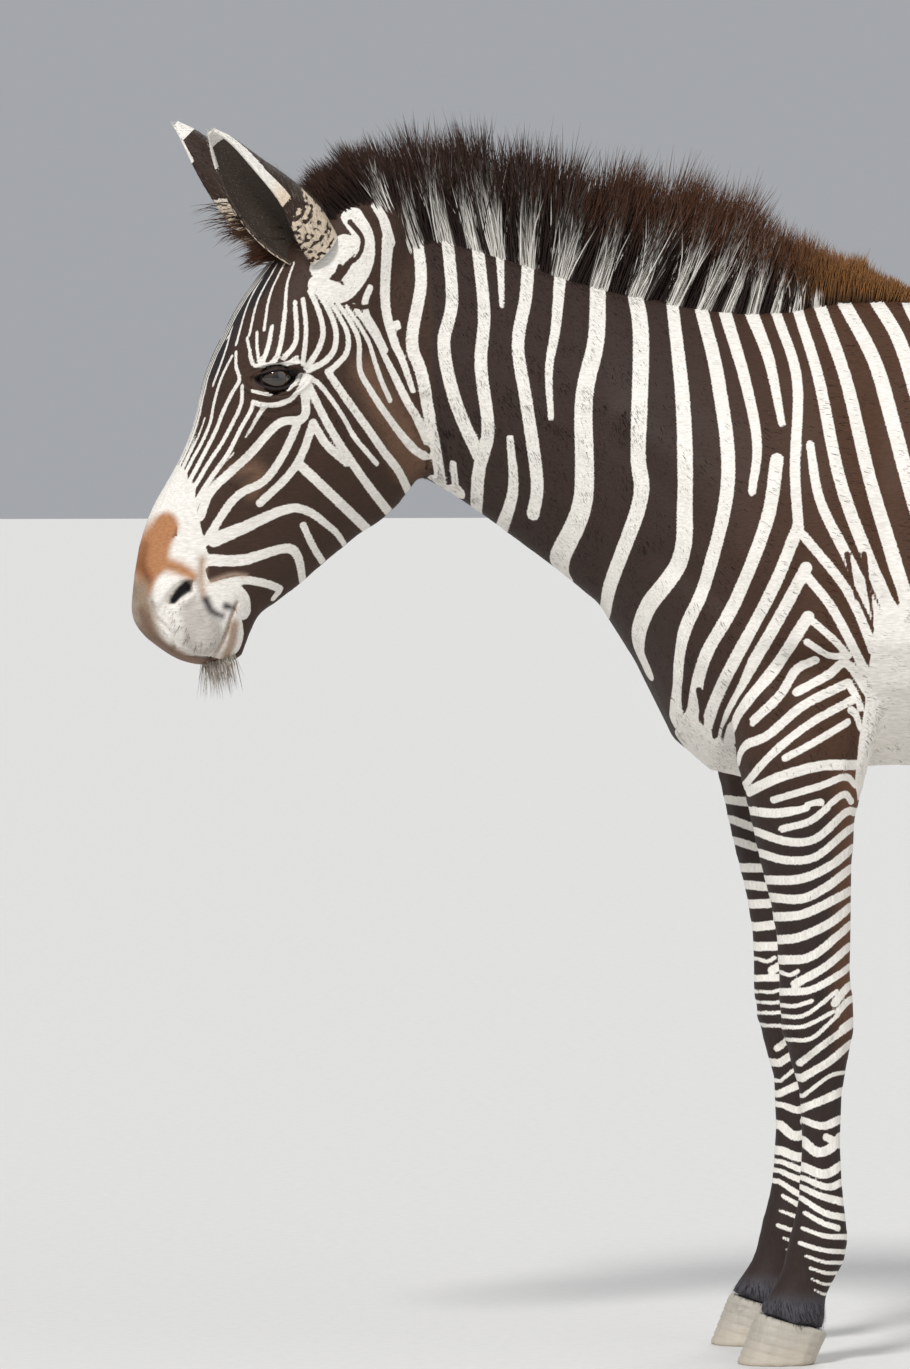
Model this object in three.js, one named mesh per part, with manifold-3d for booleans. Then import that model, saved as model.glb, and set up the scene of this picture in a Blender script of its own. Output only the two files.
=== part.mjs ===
// Grevy's zebra, adult, standing square with its head lowered and turned a little to its left.
// Millimetres, +Z up. The animal faces -X, its left side is towards -Y, and it stands on z = 0.
// The body is modelled straight, parted with thin cuts, and then the neck is bent to the side.
import * as THREE from 'three';
import { mergeVertices } from 'three/addons/utils/BufferGeometryUtils.js';
import Module from 'manifold-3d';

const wasm = await Module();
wasm.setup();

// ---------------------------------------------------------------- driving sizes

const CUT = 0.5; // width of the cuts that part the body
const CLEAR = 0.9; // gap round the pieces that sit on the body, wide enough to stay open when the neck bends
const NECK_BEND = { from: -205, length: 275, angle: THREE.MathUtils.degToRad(9) };
const EYE = { along: 229, out: 42, side: 76, radius: 25 };
const HOOF_HEIGHT = { toe: 70, heel: 42 };
const SOLE_FLARE = 11; // how much wider the hoof is at the ground than at the coronet
const HOOF_SLOPE = { toe: 27, heel: 20 }; // how far forwards the wall runs from the coronet to the ground

// The head's own frame: 'along' runs from the poll to the lips, 'out' towards the forehead.
const POLL = new THREE.Vector3(-588, 0, 1535);
const FACE_SLOPE = THREE.MathUtils.degToRad(68.1); // below the horizontal
const ALONG = new THREE.Vector3(-Math.cos(FACE_SLOPE), 0, -Math.sin(FACE_SLOPE));
const OUT = new THREE.Vector3(-Math.sin(FACE_SLOPE), 0, Math.cos(FACE_SLOPE));
const SIDE = new THREE.Vector3(0, 1, 0);

// ---------------------------------------------------------------- outlines of the neck and trunk

// Each outline is a smooth curve through its knots: [x, value].
const topLine = curve([
  [-642, 1500], [-622, 1551], [-590, 1564], [-500, 1541], [-380, 1508], [-245, 1465], [-110, 1437],
  [-20, 1430], [110, 1447], [220, 1441], [420, 1403], [600, 1390], [760, 1400], [940, 1440],
  [1060, 1446], [1150, 1424], [1215, 1372], [1252, 1305], [1270, 1225],
]);
const underLine = curve([
  [-642, 1440], [-622, 1375], [-590, 1290], [-545, 1236], [-440, 1172], [-313, 1080], [-245, 1026],
  [-212, 981], [-177, 908], [-140, 838], [-95, 800], [0, 786], [110, 803], [230, 801], [420, 775],
  [620, 762], [760, 776], [870, 815], [960, 858], [1060, 888], [1150, 906], [1215, 942], [1252, 1000], [1270, 1060],
]);
const halfWidth = curve([
  [-642, 16], [-622, 42], [-590, 62], [-520, 76], [-380, 90], [-245, 110], [-177, 140], [-100, 172],
  [-20, 190], [110, 206], [220, 226], [420, 268], [600, 284], [760, 280], [900, 258], [1050, 236],
  [1140, 208], [1205, 164], [1250, 100], [1270, 40],
]);
// Where the section is widest, and how wide it is near the top and the bottom beside that.
const widestHeight = curve([[-642, 1468], [-440, 1345], [-245, 1225], [-100, 1105], [110, 1065], [600, 1045], [950, 1130], [1270, 1140]]);
const topShare = curve([[-642, 0.6], [-500, 0.5], [-245, 0.46], [-50, 0.36], [110, 0.37], [320, 0.5], [600, 0.62], [950, 0.72], [1270, 0.8]]);
const lowShare = curve([[-642, 0.7], [-440, 0.74], [-245, 0.76], [-100, 0.82], [110, 0.78], [600, 0.82], [900, 0.74], [1270, 0.7]]);

// Muscles and bones that swell the sides: the middle [x, z], the reach [x, z] and the height.
const SWELLINGS = [
  { at: [-30, 1180], reach: [70, 170], height: 12 }, // shoulder blade
  { at: [70, 980], reach: [105, 110], height: 22 }, // triceps
  { at: [-105, 960], reach: [70, 85], height: 20 }, // point of the shoulder
  { at: [-420, 1290], reach: [170, 60], height: 8 }, // side of the neck
  { at: [945, 1330], reach: [60, 60], height: 12 }, // point of the hip
  { at: [1120, 1120], reach: [110, 150], height: 20 }, // haunch
  { at: [200, 1250], reach: [50, 160], height: -10 }, // hollow behind the shoulder blade
  { at: [850, 1240], reach: [60, 80], height: -14 }, // hollow of the flank
];

// ---------------------------------------------------------------- outlines of the head

const faceLine = curve([
  [-60, 12], [-30, 42], [0, 60], [50, 80], [90, 93], [150, 108], [200, 113], [235, 116], [268, 115], [307, 108],
  [350, 106], [400, 111], [440, 118], [480, 119], [511, 115], [545, 107], [572, 99], [594, 91], [608, 76], [620, 50], [627, 16],
]);
const jawLine = curve([
  [-60, -52], [-30, -76], [0, -92], [60, -118], [150, -166], [200, -198], [240, -210], [281, -212], [305, -205],
  [339, -193], [373, -168], [403, -150], [442, -128], [482, -107], [510, -88], [540, -70], [563, -73], [590, -73], [606, -60], [620, -34], [627, -8],
]);
const faceWidth = curve([
  [-60, 44], [-30, 64], [0, 73], [90, 87], [150, 94], [224, 100], [270, 95], [305, 88], [350, 79], [400, 68],
  [440, 60], [480, 55], [515, 55], [545, 58], [570, 57], [592, 52], [608, 44], [620, 31], [627, 12],
]);
const faceWidest = curve([[-60, -12], [90, 20], [224, 27], [305, 8], [400, 4], [510, 14], [560, 20], [627, 4]]);
const browShare = curve([[-60, 0.85], [150, 0.8], [235, 0.77], [305, 0.66], [440, 0.64], [545, 0.7], [627, 0.7]]);
const jawShare = curve([[-60, 0.85], [150, 0.68], [235, 0.52], [350, 0.54], [440, 0.6], [570, 0.62], [627, 0.7]]);

// ---------------------------------------------------------------- outlines of the legs

// Heights run down the leg. Front and back are x, and middle is how far the leg stands from the midline.
const FORELEG = {
  front: curve([[30, -40], [70, -42], [95, -27], [116, -13], [139, -6], [168, 0], [205, 10], [240, 15], [384, 12], [418, 0], [445, -6], [474, -13], [543, -15], [597, -20], [654, -34], [716, -49], [779, -62], [850, -80], [920, -82], [1040, -60]]),
  back: curve([[30, 50], [70, 53], [95, 56], [116, 67], [139, 80], [168, 84], [205, 81], [240, 76], [324, 74], [384, 78], [418, 85], [474, 94], [505, 88], [597, 88], [716, 90], [779, 98], [850, 124], [920, 146], [1040, 150]]),
  width: curve([[30, 36], [70, 38], [95, 33], [116, 32], [168, 38], [205, 33], [240, 28], [324, 27], [384, 30], [418, 37], [474, 45], [543, 40], [654, 48], [749, 60], [850, 66], [950, 60], [1040, 44]]),
  middle: curve([[30, 131], [474, 134], [654, 140], [779, 144], [920, 136], [1040, 118]]),
};
const HINDLEG = {
  front: curve([[30, 1052], [65, 1052], [90, 1066], [110, 1078], [135, 1088], [165, 1096], [200, 1108], [240, 1116], [415, 1116], [455, 1112], [522, 1096], [590, 1058], [640, 1028], [700, 990], [760, 948], [820, 914], [880, 896], [960, 900], [1050, 925], [1150, 965]]),
  back: curve([[30, 1140], [65, 1145], [90, 1150], [110, 1164], [135, 1182], [165, 1190], [200, 1188], [240, 1182], [330, 1180], [415, 1184], [455, 1200], [490, 1220], [530, 1231], [560, 1222], [590, 1207], [640, 1205], [700, 1215], [760, 1231], [880, 1260], [960, 1270], [1050, 1264], [1150, 1236]]),
  width: curve([[30, 36], [65, 38], [90, 33], [110, 32], [165, 38], [200, 34], [240, 29], [330, 28], [415, 32], [490, 42], [550, 42], [590, 47], [640, 59], [700, 75], [760, 91], [880, 112], [1000, 112], [1150, 76]]),
  middle: curve([[30, 130], [490, 133], [640, 138], [820, 146], [960, 142], [1150, 118]]),
};
const LEGS = [
  { name: 'left_foreleg', foot: 'left_fore_hoof', shape: FORELEG, side: -1, stride: 0, top: 1040 },
  { name: 'right_foreleg', foot: 'right_fore_hoof', shape: FORELEG, side: 1, stride: -7, top: 1040 },
  { name: 'left_hindleg', foot: 'left_hind_hoof', shape: HINDLEG, side: -1, stride: 25, top: 1150 },
  { name: 'right_hindleg', foot: 'right_hind_hoof', shape: HINDLEG, side: 1, stride: -60, top: 1150 },
];
const HIP_HEIGHT = 1000; // a leg's stride grows from nothing here to its whole length at the ground
const LEG_STEPS = [30, 55, 75, 95, 116, 139, 168, 196, 228, 300, 370, 418, 455, 490, 530, 575, 625, 680, 740, 820, 900, 970, 1040, 1100, 1150];

// ---------------------------------------------------------------- mane, tail and ears

const maneTop = curve([
  [-668, 1606], [-655, 1634], [-613, 1662], [-518, 1680], [-381, 1674], [-245, 1645], [-109, 1612], [-30, 1585], [14, 1551], [95, 1519], [177, 1488], [250, 1458], [300, 1440],
]);
const maneWidth = curve([[-668, 14], [-610, 26], [-380, 32], [100, 32], [250, 24], [300, 12]]);
const MANE_ROOT = 22; // how deep the mane's solid starts under the crest
const FORELOCK = { along: 48, out: 92, reach: [40, 78, 30] }; // along, out and side

const TAIL_PATH = [[1215, 1318], [1262, 1312], [1296, 1270], [1306, 1180], [1302, 1060], [1298, 930]];
const TAIL_RADIUS = [34, 32, 27, 22, 19, 17];
const TUFT_PATH = [[1298, 929], [1300, 840], [1306, 720], [1308, 600], [1306, 510]];
const TUFT_RADIUS = [17, 27, 34, 29, 5];

const EAR = {
  root: { along: 48, out: 46, side: 54 },
  tips: [
    { name: 'left', side: -1, along: -41, out: 249, apart: 88 },
    { name: 'right', side: 1, along: -47, out: 264, apart: 90 },
  ],
  turned: THREE.MathUtils.degToRad(30), // how far the opening faces outwards
  bow: curve([[0, 0], [0.45, 2], [0.7, 10], [1, 0]]), // how far its middle line bows forwards
  curl: curve([[0, 37], [0.2, 46], [0.45, 47], [0.7, 34], [0.88, 22], [1, 8]]), // radius of the cup
  wrap: curve([[0, 158], [0.2, 138], [0.45, 110], [0.75, 86], [1, 66]]), // how far it wraps each way, in degrees
  thick: 7,
};

// ---------------------------------------------------------------- shape tools

// A smooth curve through knots [[at, value], ...], as a function of at.
function curve(knots) {
  const at = knots.map(([x]) => x);
  const spline = new THREE.CubicInterpolant(at, knots.map(([, value]) => value), 1);
  return (x) => spline.evaluate(THREE.MathUtils.clamp(x, at[0], at.at(-1)))[0];
}

// A closed surface through rings of equally many points, with a fan over each end.
function loft(rings) {
  const around = rings[0].length;
  const middle = (ring) => ring.reduce((sum, p) => sum.add(p), new THREE.Vector3()).divideScalar(around);
  const points = [...rings.flat(), middle(rings[0]), middle(rings.at(-1))];
  const faces = [];
  const first = rings.length * around;
  const last = first + 1;
  for (let j = 0; j < around; j++) {
    const k = (j + 1) % around;
    for (let i = 0; i + 1 < rings.length; i++) {
      const [a, b, c, d] = [i * around + j, i * around + k, (i + 1) * around + k, (i + 1) * around + j];
      faces.push(a, b, c, a, c, d);
    }
    const end = (rings.length - 1) * around;
    faces.push(first, k, j, last, end + j, end + k);
  }
  return geometryOf(points, faces);
}

function geometryOf(points, faces) {
  const geometry = new THREE.BufferGeometry().setFromPoints(points);
  geometry.setIndex(faces);
  return geometry;
}

// One side-to-side section: heights from low to high, and half widths at the top, the widest place and the bottom.
// Returns [across, height] pairs round the section.
function section({ low, high, widest, top, wide, bottom, square = 0.86 }, around) {
  return Array.from({ length: around }, (_, i) => {
    const turn = (i / around) * 2 * Math.PI;
    const [up, across] = [Math.sin(turn), Math.cos(turn)];
    const rise = Math.sign(up) * Math.abs(up) ** square;
    const height = widest + rise * (up > 0 ? high - widest : widest - low);
    const width = THREE.MathUtils.lerp(wide, up > 0 ? top : bottom, up * up);
    return [Math.sign(across) * Math.abs(across) ** square * width, height];
  });
}

function evenly(from, to, step) {
  const count = Math.ceil((to - from) / step);
  return Array.from({ length: count + 1 }, (_, i) => from + ((to - from) * i) / count);
}

function solid(geometry) {
  const bare = geometry.clone();
  for (const name of Object.keys(bare.attributes)) if (name !== 'position') bare.deleteAttribute(name);
  const merged = mergeVertices(bare, 1e-3);
  const made = new wasm.Manifold(new wasm.Mesh({
    numProp: 3,
    vertProperties: merged.attributes.position.array,
    triVerts: new Uint32Array(merged.index.array),
  }));
  if (made.volume() > 0) return made;
  const turned = merged.index.array.map((_, i, all) => all[i - (i % 3) + [0, 2, 1][i % 3]]);
  return solid(merged.setIndex(new THREE.BufferAttribute(turned, 1)));
}

function largest(made) {
  return made.decompose().sort((a, b) => b.volume() - a.volume())[0];
}

// ---------------------------------------------------------------- neck and trunk

const BODY_AROUND = 24;

function swelling(x, z) {
  return SWELLINGS.reduce((sum, { at, reach, height }) => {
    const far = ((x - at[0]) / reach[0]) ** 2 + ((z - at[1]) / reach[1]) ** 2;
    return sum + height * Math.exp(-far);
  }, 0);
}

function body(grow = 0) {
  const stops = [-642, -634, -622, ...evenly(-602, 10, 51), ...evenly(86, 1150, 76), 1195, 1230, 1256, 1270];
  return solid(loft(stops.map((x) => {
    const width = halfWidth(x) + grow;
    const ring = section({
      low: underLine(x) - grow, high: topLine(x) + grow, widest: widestHeight(x),
      top: width * topShare(x), wide: width, bottom: width * lowShare(x),
    }, BODY_AROUND);
    return ring.map(([y, z]) => {
      const sideways = Math.min(1, Math.abs(y) / (0.5 * width));
      return new THREE.Vector3(x, y + Math.sign(y) * sideways * swelling(x, z), z);
    });
  })));
}

// ---------------------------------------------------------------- head

const HEAD_AROUND = 22;

function onHead(along, out, side) {
  return POLL.clone().addScaledVector(ALONG, along).addScaledVector(OUT, out).addScaledVector(SIDE, side);
}

function head(grow = 0) {
  const stops = [-60, -44, ...evenly(-18, 590, 31), 604, 615, 623, 627];
  return solid(loft(stops.map((along) => {
    const width = faceWidth(along) + grow;
    const ring = section({
      low: jawLine(along) - grow, high: faceLine(along) + grow, widest: faceWidest(along),
      top: width * browShare(along), wide: width, bottom: width * jawShare(along), square: 0.8,
    }, HEAD_AROUND);
    return ring.map(([side, out]) => onHead(along, out, side));
  })));
}

function eye(side, grow = 0) {
  const at = onHead(EYE.along, EYE.out, EYE.side * side);
  return solid(new THREE.IcosahedronGeometry(EYE.radius + grow, 2).translate(at.x, at.y, at.z));
}

// The ear is a cup: an outer and an inner skin of the same curl, joined along the rim.
function ear({ side, along, out, apart }) {
  const root = onHead(EAR.root.along, EAR.root.out, EAR.root.side * side);
  const tip = onHead(along, out, apart * side);
  const axis = tip.clone().sub(root).normalize();
  const forwards = ALONG.clone().addScaledVector(OUT, 0.6).projectOnPlane(axis).normalize();
  const outwards = SIDE.clone().multiplyScalar(side).projectOnPlane(axis).normalize();
  const opening = forwards.clone().multiplyScalar(Math.cos(EAR.turned))
    .addScaledVector(outwards, Math.sin(EAR.turned)).normalize();
  const across = new THREE.Vector3().crossVectors(axis, opening);
  const lengths = [0, 0.12, 0.24, 0.38, 0.52, 0.66, 0.78, 0.88, 0.95, 1];
  const steps = 8;
  return solid(loft(lengths.map((share) => {
    const wrap = THREE.MathUtils.degToRad(EAR.wrap(share));
    const at = root.clone().lerp(tip, share).addScaledVector(forwards, EAR.bow(share));
    const point = (radius, turn) => at.clone()
      .addScaledVector(opening, -radius * Math.cos(turn))
      .addScaledVector(across, radius * Math.sin(turn));
    const turns = evenly(-wrap, wrap, (2 * wrap) / steps - 1e-6).slice(0, steps + 1);
    const radius = EAR.curl(share);
    const inner = Math.max(radius - EAR.thick, radius * 0.4);
    return [...turns.map((turn) => point(radius, turn)), ...turns.reverse().map((turn) => point(inner, turn * 0.97))];
  })));
}

// ---------------------------------------------------------------- legs and hooves

function strideAt(leg, z) {
  return leg.stride * Math.max(0, 1 - z / HIP_HEIGHT);
}

function legSolid(leg, around = 12) {
  const stops = LEG_STEPS.filter((z) => z <= leg.top);
  return solid(loft(stops.map((z) => {
    const [front, back] = [leg.shape.front(z), leg.shape.back(z)];
    const [middle, depth] = [(front + back) / 2 + strideAt(leg, z), (back - front) / 2];
    return Array.from({ length: around }, (_, i) => {
      const turn = (i / around) * 2 * Math.PI;
      const y = leg.side * leg.shape.middle(z) + leg.shape.width(z) * Math.sin(turn);
      return new THREE.Vector3(middle + depth * Math.cos(turn), y, z);
    });
  })));
}

// A hoof: round at the toe, narrower at the heel, its top sloping down from the toe to the heel.
function hoof(leg, grow = 0) {
  const around = 16;
  const { toe, heel } = HOOF_HEIGHT;
  const [front, back] = [leg.shape.front(toe) - 1 + leg.stride, leg.shape.back(heel) + 6 + leg.stride];
  const ring = (share, bulge) => Array.from({ length: around }, (_, i) => {
    const turn = (i / around) * 2 * Math.PI;
    const forwards = (1 + Math.cos(turn)) / 2;
    const slope = (1 - share) * THREE.MathUtils.lerp(HOOF_SLOPE.heel, HOOF_SLOPE.toe, forwards);
    const reach = Math.abs(Math.cos(turn)) ** (forwards > 0.5 ? 0.9 : 0.6) * Math.sign(Math.cos(turn));
    const x = (front + back) / 2 - reach * ((back - front) / 2 + grow + bulge) - slope;
    const flare = (SOLE_FLARE * (1 - share)) + bulge;
    const width = (leg.shape.width(toe) + 2 + flare + grow) * (0.86 + 0.14 * forwards);
    const y = leg.side * leg.shape.middle(toe) + width * Math.sin(turn);
    const z = share * (heel + (toe - heel) * forwards) + grow * (share > 0.5 ? 1 : -1);
    return new THREE.Vector3(x, y, z);
  });
  return solid(loft([ring(0, -2), ring(0.06, 0), ring(0.5, 0), ring(0.9, 0), ring(1, -3)]));
}

// ---------------------------------------------------------------- mane and tail

function mane() {
  const around = 10;
  return solid(loft([-668, -662, ...evenly(-650, 250, 56), 280, 300].map((x) => {
    const low = Math.min(topLine(Math.max(x, -615)) - MANE_ROOT, maneTop(x) - 14);
    const high = maneTop(x);
    const wide = maneWidth(x);
    return section({ low, high, widest: low + 0.3 * (high - low), top: wide * 0.45, wide, bottom: wide * 0.8 }, around)
      .map(([y, z]) => new THREE.Vector3(x, y, z));
  })));
}

// The forelock: a tuft between the ears that stands up from the forehead.
function forelock() {
  const [along, out, side] = FORELOCK.reach;
  const tuft = new THREE.IcosahedronGeometry(1, 2);
  tuft.applyMatrix4(new THREE.Matrix4().makeBasis(
    ALONG.clone().multiplyScalar(along), SIDE.clone().multiplyScalar(-side), OUT.clone().multiplyScalar(out),
  ));
  const at = onHead(FORELOCK.along, FORELOCK.out, 0);
  return solid(tuft.translate(at.x, at.y, at.z));
}

// A round strand that hangs in the midplane along a path of [x, z] points.
function hanging(path, radii, steps, around) {
  const spine = new THREE.CatmullRomCurve3(path.map(([x, z]) => new THREE.Vector3(x, 0, z)), false, 'centripetal');
  const radius = curve(radii.map((r, i) => [i / (radii.length - 1), r]));
  return solid(loft(Array.from({ length: steps + 1 }, (_, i) => {
    const share = i / steps;
    const at = spine.getPoint(share);
    const along = spine.getTangent(share);
    const outwards = new THREE.Vector3().crossVectors(along, SIDE);
    return Array.from({ length: around }, (_, j) => {
      const turn = (j / around) * 2 * Math.PI;
      return at.clone()
        .addScaledVector(outwards, radius(share) * Math.cos(turn))
        .addScaledVector(SIDE, radius(share) * Math.sin(turn));
    });
  })));
}

// ---------------------------------------------------------------- parting the body

// A thin slab in the side view, from one [x, z] point to another, over a stretch of y.
function slab([x1, z1], [x2, z2], y1 = -400, y2 = 400) {
  const length = Math.hypot(x2 - x1, z2 - z1);
  const box = new THREE.BoxGeometry(length, y2 - y1, CUT);
  box.rotateY(-Math.atan2(z2 - z1, x2 - x1));
  box.translate((x1 + x2) / 2, (y1 + y2) / 2, (z1 + z2) / 2);
  return solid(box);
}

const CUTS = [
  slab([-612, 1640], [-470, 1120]), // behind the jaw
  slab([60, 1500], [-250, 830]), // in front of the shoulder
  ...[-1, 1].flatMap((side) => {
    const [near, far] = side < 0 ? [-400, -16] : [16, 400];
    return [slab([-160, 778], [190, 778], near, far), slab([872, 806], [1360, 806], near, far)];
  }),
];

// The neck bends sideways over a stretch, and what is in front of it turns as a whole.
function bend(point) {
  const { from, length, angle } = NECK_BEND;
  const ahead = from - point.x;
  if (ahead <= 0) return point;
  const share = Math.min(1, ahead / length);
  const turned = angle * share;
  const radius = length / angle;
  const beyond = Math.max(0, ahead - length);
  const [forwards, sideways] = [Math.cos(turned), Math.sin(turned)];
  return new THREE.Vector3(
    from - radius * sideways - beyond * forwards - point.y * sideways,
    -radius * (1 - forwards) - beyond * sideways + point.y * forwards,
    point.z,
  );
}

function bent(made) {
  const mesh = made.getMesh();
  const points = [];
  for (let i = 0; i < mesh.numVert; i++) {
    points.push(bend(new THREE.Vector3().fromArray(mesh.vertProperties, i * mesh.numProp)));
  }
  return geometryOf(points, [...mesh.triVerts]);
}

// ---------------------------------------------------------------- the animal

const COAT = new THREE.MeshStandardMaterial({ color: 0xcfc7b8, roughness: 0.8, metalness: 0 });
const MANE_HAIR = new THREE.MeshStandardMaterial({ color: 0x3a2820, roughness: 0.75, metalness: 0 });
const HORN = new THREE.MeshStandardMaterial({ color: 0xa39382, roughness: 0.6, metalness: 0 });
const EYEBALL = new THREE.MeshStandardMaterial({ color: 0x1a110c, roughness: 0.08, metalness: 0 });

const zebra = new THREE.Group();

function add(name, made, material) {
  const mesh = new THREE.Mesh(bent(made), material);
  mesh.name = name;
  zebra.add(mesh);
}

const grownBody = body(CLEAR);
const grownHead = head(CLEAR);
let whole = body().add(head());
for (const leg of LEGS) {
  whole = whole.add(legSolid(leg)).subtract(hoof(leg, CUT));
  add(leg.foot, hoof(leg), HORN);
}
for (const cut of CUTS) whole = whole.subtract(cut);
for (const side of [-1, 1]) whole = whole.subtract(eye(side, CUT));

// Each piece of flesh is the one that holds a known place.
const FLESH = {
  head: onHead(250, -20, 0),
  neck: new THREE.Vector3(-300, 0, 1300),
  trunk: new THREE.Vector3(500, 0, 1100),
};
for (const leg of LEGS) {
  const x = (leg.shape.front(300) + leg.shape.back(300)) / 2 + strideAt(leg, 300);
  FLESH[leg.name] = new THREE.Vector3(x, leg.side * leg.shape.middle(300), 300);
}
const pieces = whole.decompose();
const heldBy = (piece, { x, y, z }) => {
  const probe = solid(new THREE.BoxGeometry(4, 4, 4).translate(x, y, z));
  return piece.intersect(probe).volume() > 0;
};
for (const [name, place] of Object.entries(FLESH)) {
  add(name, pieces.find((piece) => heldBy(piece, place)), COAT);
}

let crest = mane().subtract(grownBody).subtract(grownHead);
let brow = forelock().subtract(grownBody).subtract(grownHead);
for (const tip of EAR.tips) {
  add(`${tip.name}_ear`, largest(ear(tip).subtract(grownHead).subtract(grownBody)), COAT);
  add(`${tip.name}_eye`, eye(tip.side), EYEBALL);
  crest = crest.subtract(ear(tip));
  brow = brow.subtract(ear(tip));
}
add('mane', largest(crest), MANE_HAIR);
add('forelock', largest(brow.subtract(mane())), MANE_HAIR);
add('tail', largest(hanging(TAIL_PATH, TAIL_RADIUS, 12, 10).subtract(grownBody)), COAT);
add('tail_tuft', hanging(TUFT_PATH, TUFT_RADIUS, 10, 10), MANE_HAIR);

// The origin is on the floor, under the middle of the whole animal.
const box = new THREE.Box3().setFromObject(zebra);
const centre = box.getCenter(new THREE.Vector3());
zebra.position.set(-centre.x, -centre.y, -box.min.z);

export default zebra;
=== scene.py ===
"""A life-size Grevy's zebra: one skin with its markings, a coat of hair, a mane, eyes and hooves.

Lengths are in metres in the frame's own axes: the animal faces -X, its left side is -Y and up is +Z.
"Straight" coordinates undo the bend of the neck, so both sides of the animal mirror each other there.
Stripes are lists of points read in the picture's pixels, and each is cast onto the skin.
"""

import math

import bmesh
import bpy
import numpy as np
from mathutils import Matrix, Vector
from mathutils.bvhtree import BVHTree
from mathutils.kdtree import KDTree


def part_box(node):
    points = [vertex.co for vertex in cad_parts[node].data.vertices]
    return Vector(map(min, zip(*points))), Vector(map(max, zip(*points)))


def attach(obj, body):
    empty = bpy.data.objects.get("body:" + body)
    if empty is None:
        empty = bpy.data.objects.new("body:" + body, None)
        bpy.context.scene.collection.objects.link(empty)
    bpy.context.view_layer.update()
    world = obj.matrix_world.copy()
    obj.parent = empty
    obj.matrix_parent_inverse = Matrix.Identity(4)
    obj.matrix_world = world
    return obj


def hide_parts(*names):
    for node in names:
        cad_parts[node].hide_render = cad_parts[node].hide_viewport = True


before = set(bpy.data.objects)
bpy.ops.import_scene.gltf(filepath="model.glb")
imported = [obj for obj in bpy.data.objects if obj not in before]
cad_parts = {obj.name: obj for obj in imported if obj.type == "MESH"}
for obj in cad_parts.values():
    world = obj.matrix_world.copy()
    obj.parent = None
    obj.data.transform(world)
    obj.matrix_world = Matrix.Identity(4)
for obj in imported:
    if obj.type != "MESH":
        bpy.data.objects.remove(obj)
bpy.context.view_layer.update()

# ---- the picture and the camera ----
IMAGE_SIZE = (910, 1369)
PIXEL = 0.001362
CAMERA_DISTANCE = 15.0
CAMERA_TURN = math.radians(5)
CAMERA_DIP = math.radians(2.5)
LOOK_AT = np.array([-0.667, 0.0, 0.918])
SENSOR = 36.0

FORWARD = np.array([
    math.sin(CAMERA_TURN) * math.cos(CAMERA_DIP),
    math.cos(CAMERA_TURN) * math.cos(CAMERA_DIP),
    -math.sin(CAMERA_DIP),
])
RIGHT = np.array([math.cos(CAMERA_TURN), -math.sin(CAMERA_TURN), 0.0])
UP = np.cross(RIGHT, FORWARD)
CAMERA_PLACE = LOOK_AT - CAMERA_DISTANCE * FORWARD

# ---- the animal's own frame ----
BEND_FROM = -0.431
BEND_LENGTH = 0.275
BEND_ANGLE = math.radians(9)
BEND_RADIUS = BEND_LENGTH / BEND_ANGLE
POLL = np.array([-0.814, 0.0, 1.535])
HEAD_PITCH = math.radians(68.1)
ALONG = np.array([-math.cos(HEAD_PITCH), 0.0, -math.sin(HEAD_PITCH)])
OUT = np.array([-math.sin(HEAD_PITCH), 0.0, math.cos(HEAD_PITCH)])
LEG_FOLD_HEIGHT = 0.76
LEG_PRESS = 0.12
LEG_MIDDLE = 0.1305
LEG_SPLAY = 0.0145

FLESH = (
    "head", "neck", "trunk", "tail", "left_foreleg", "right_foreleg", "left_hindleg", "right_hindleg",
)
HOOVES = ("left_fore_hoof", "right_fore_hoof", "left_hind_hoof", "right_hind_hoof")

# Each part's hair is drawn from its own seed.
SEEDS = {
    "left mane": 11, "right mane": 12, "forelock": 31, "tail": 41, "head": 71, "neck": 72,
    "left trunk": 73, "right trunk": 74, "legs": 75, "ears": 76, "first fringe": 80,
}

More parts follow.
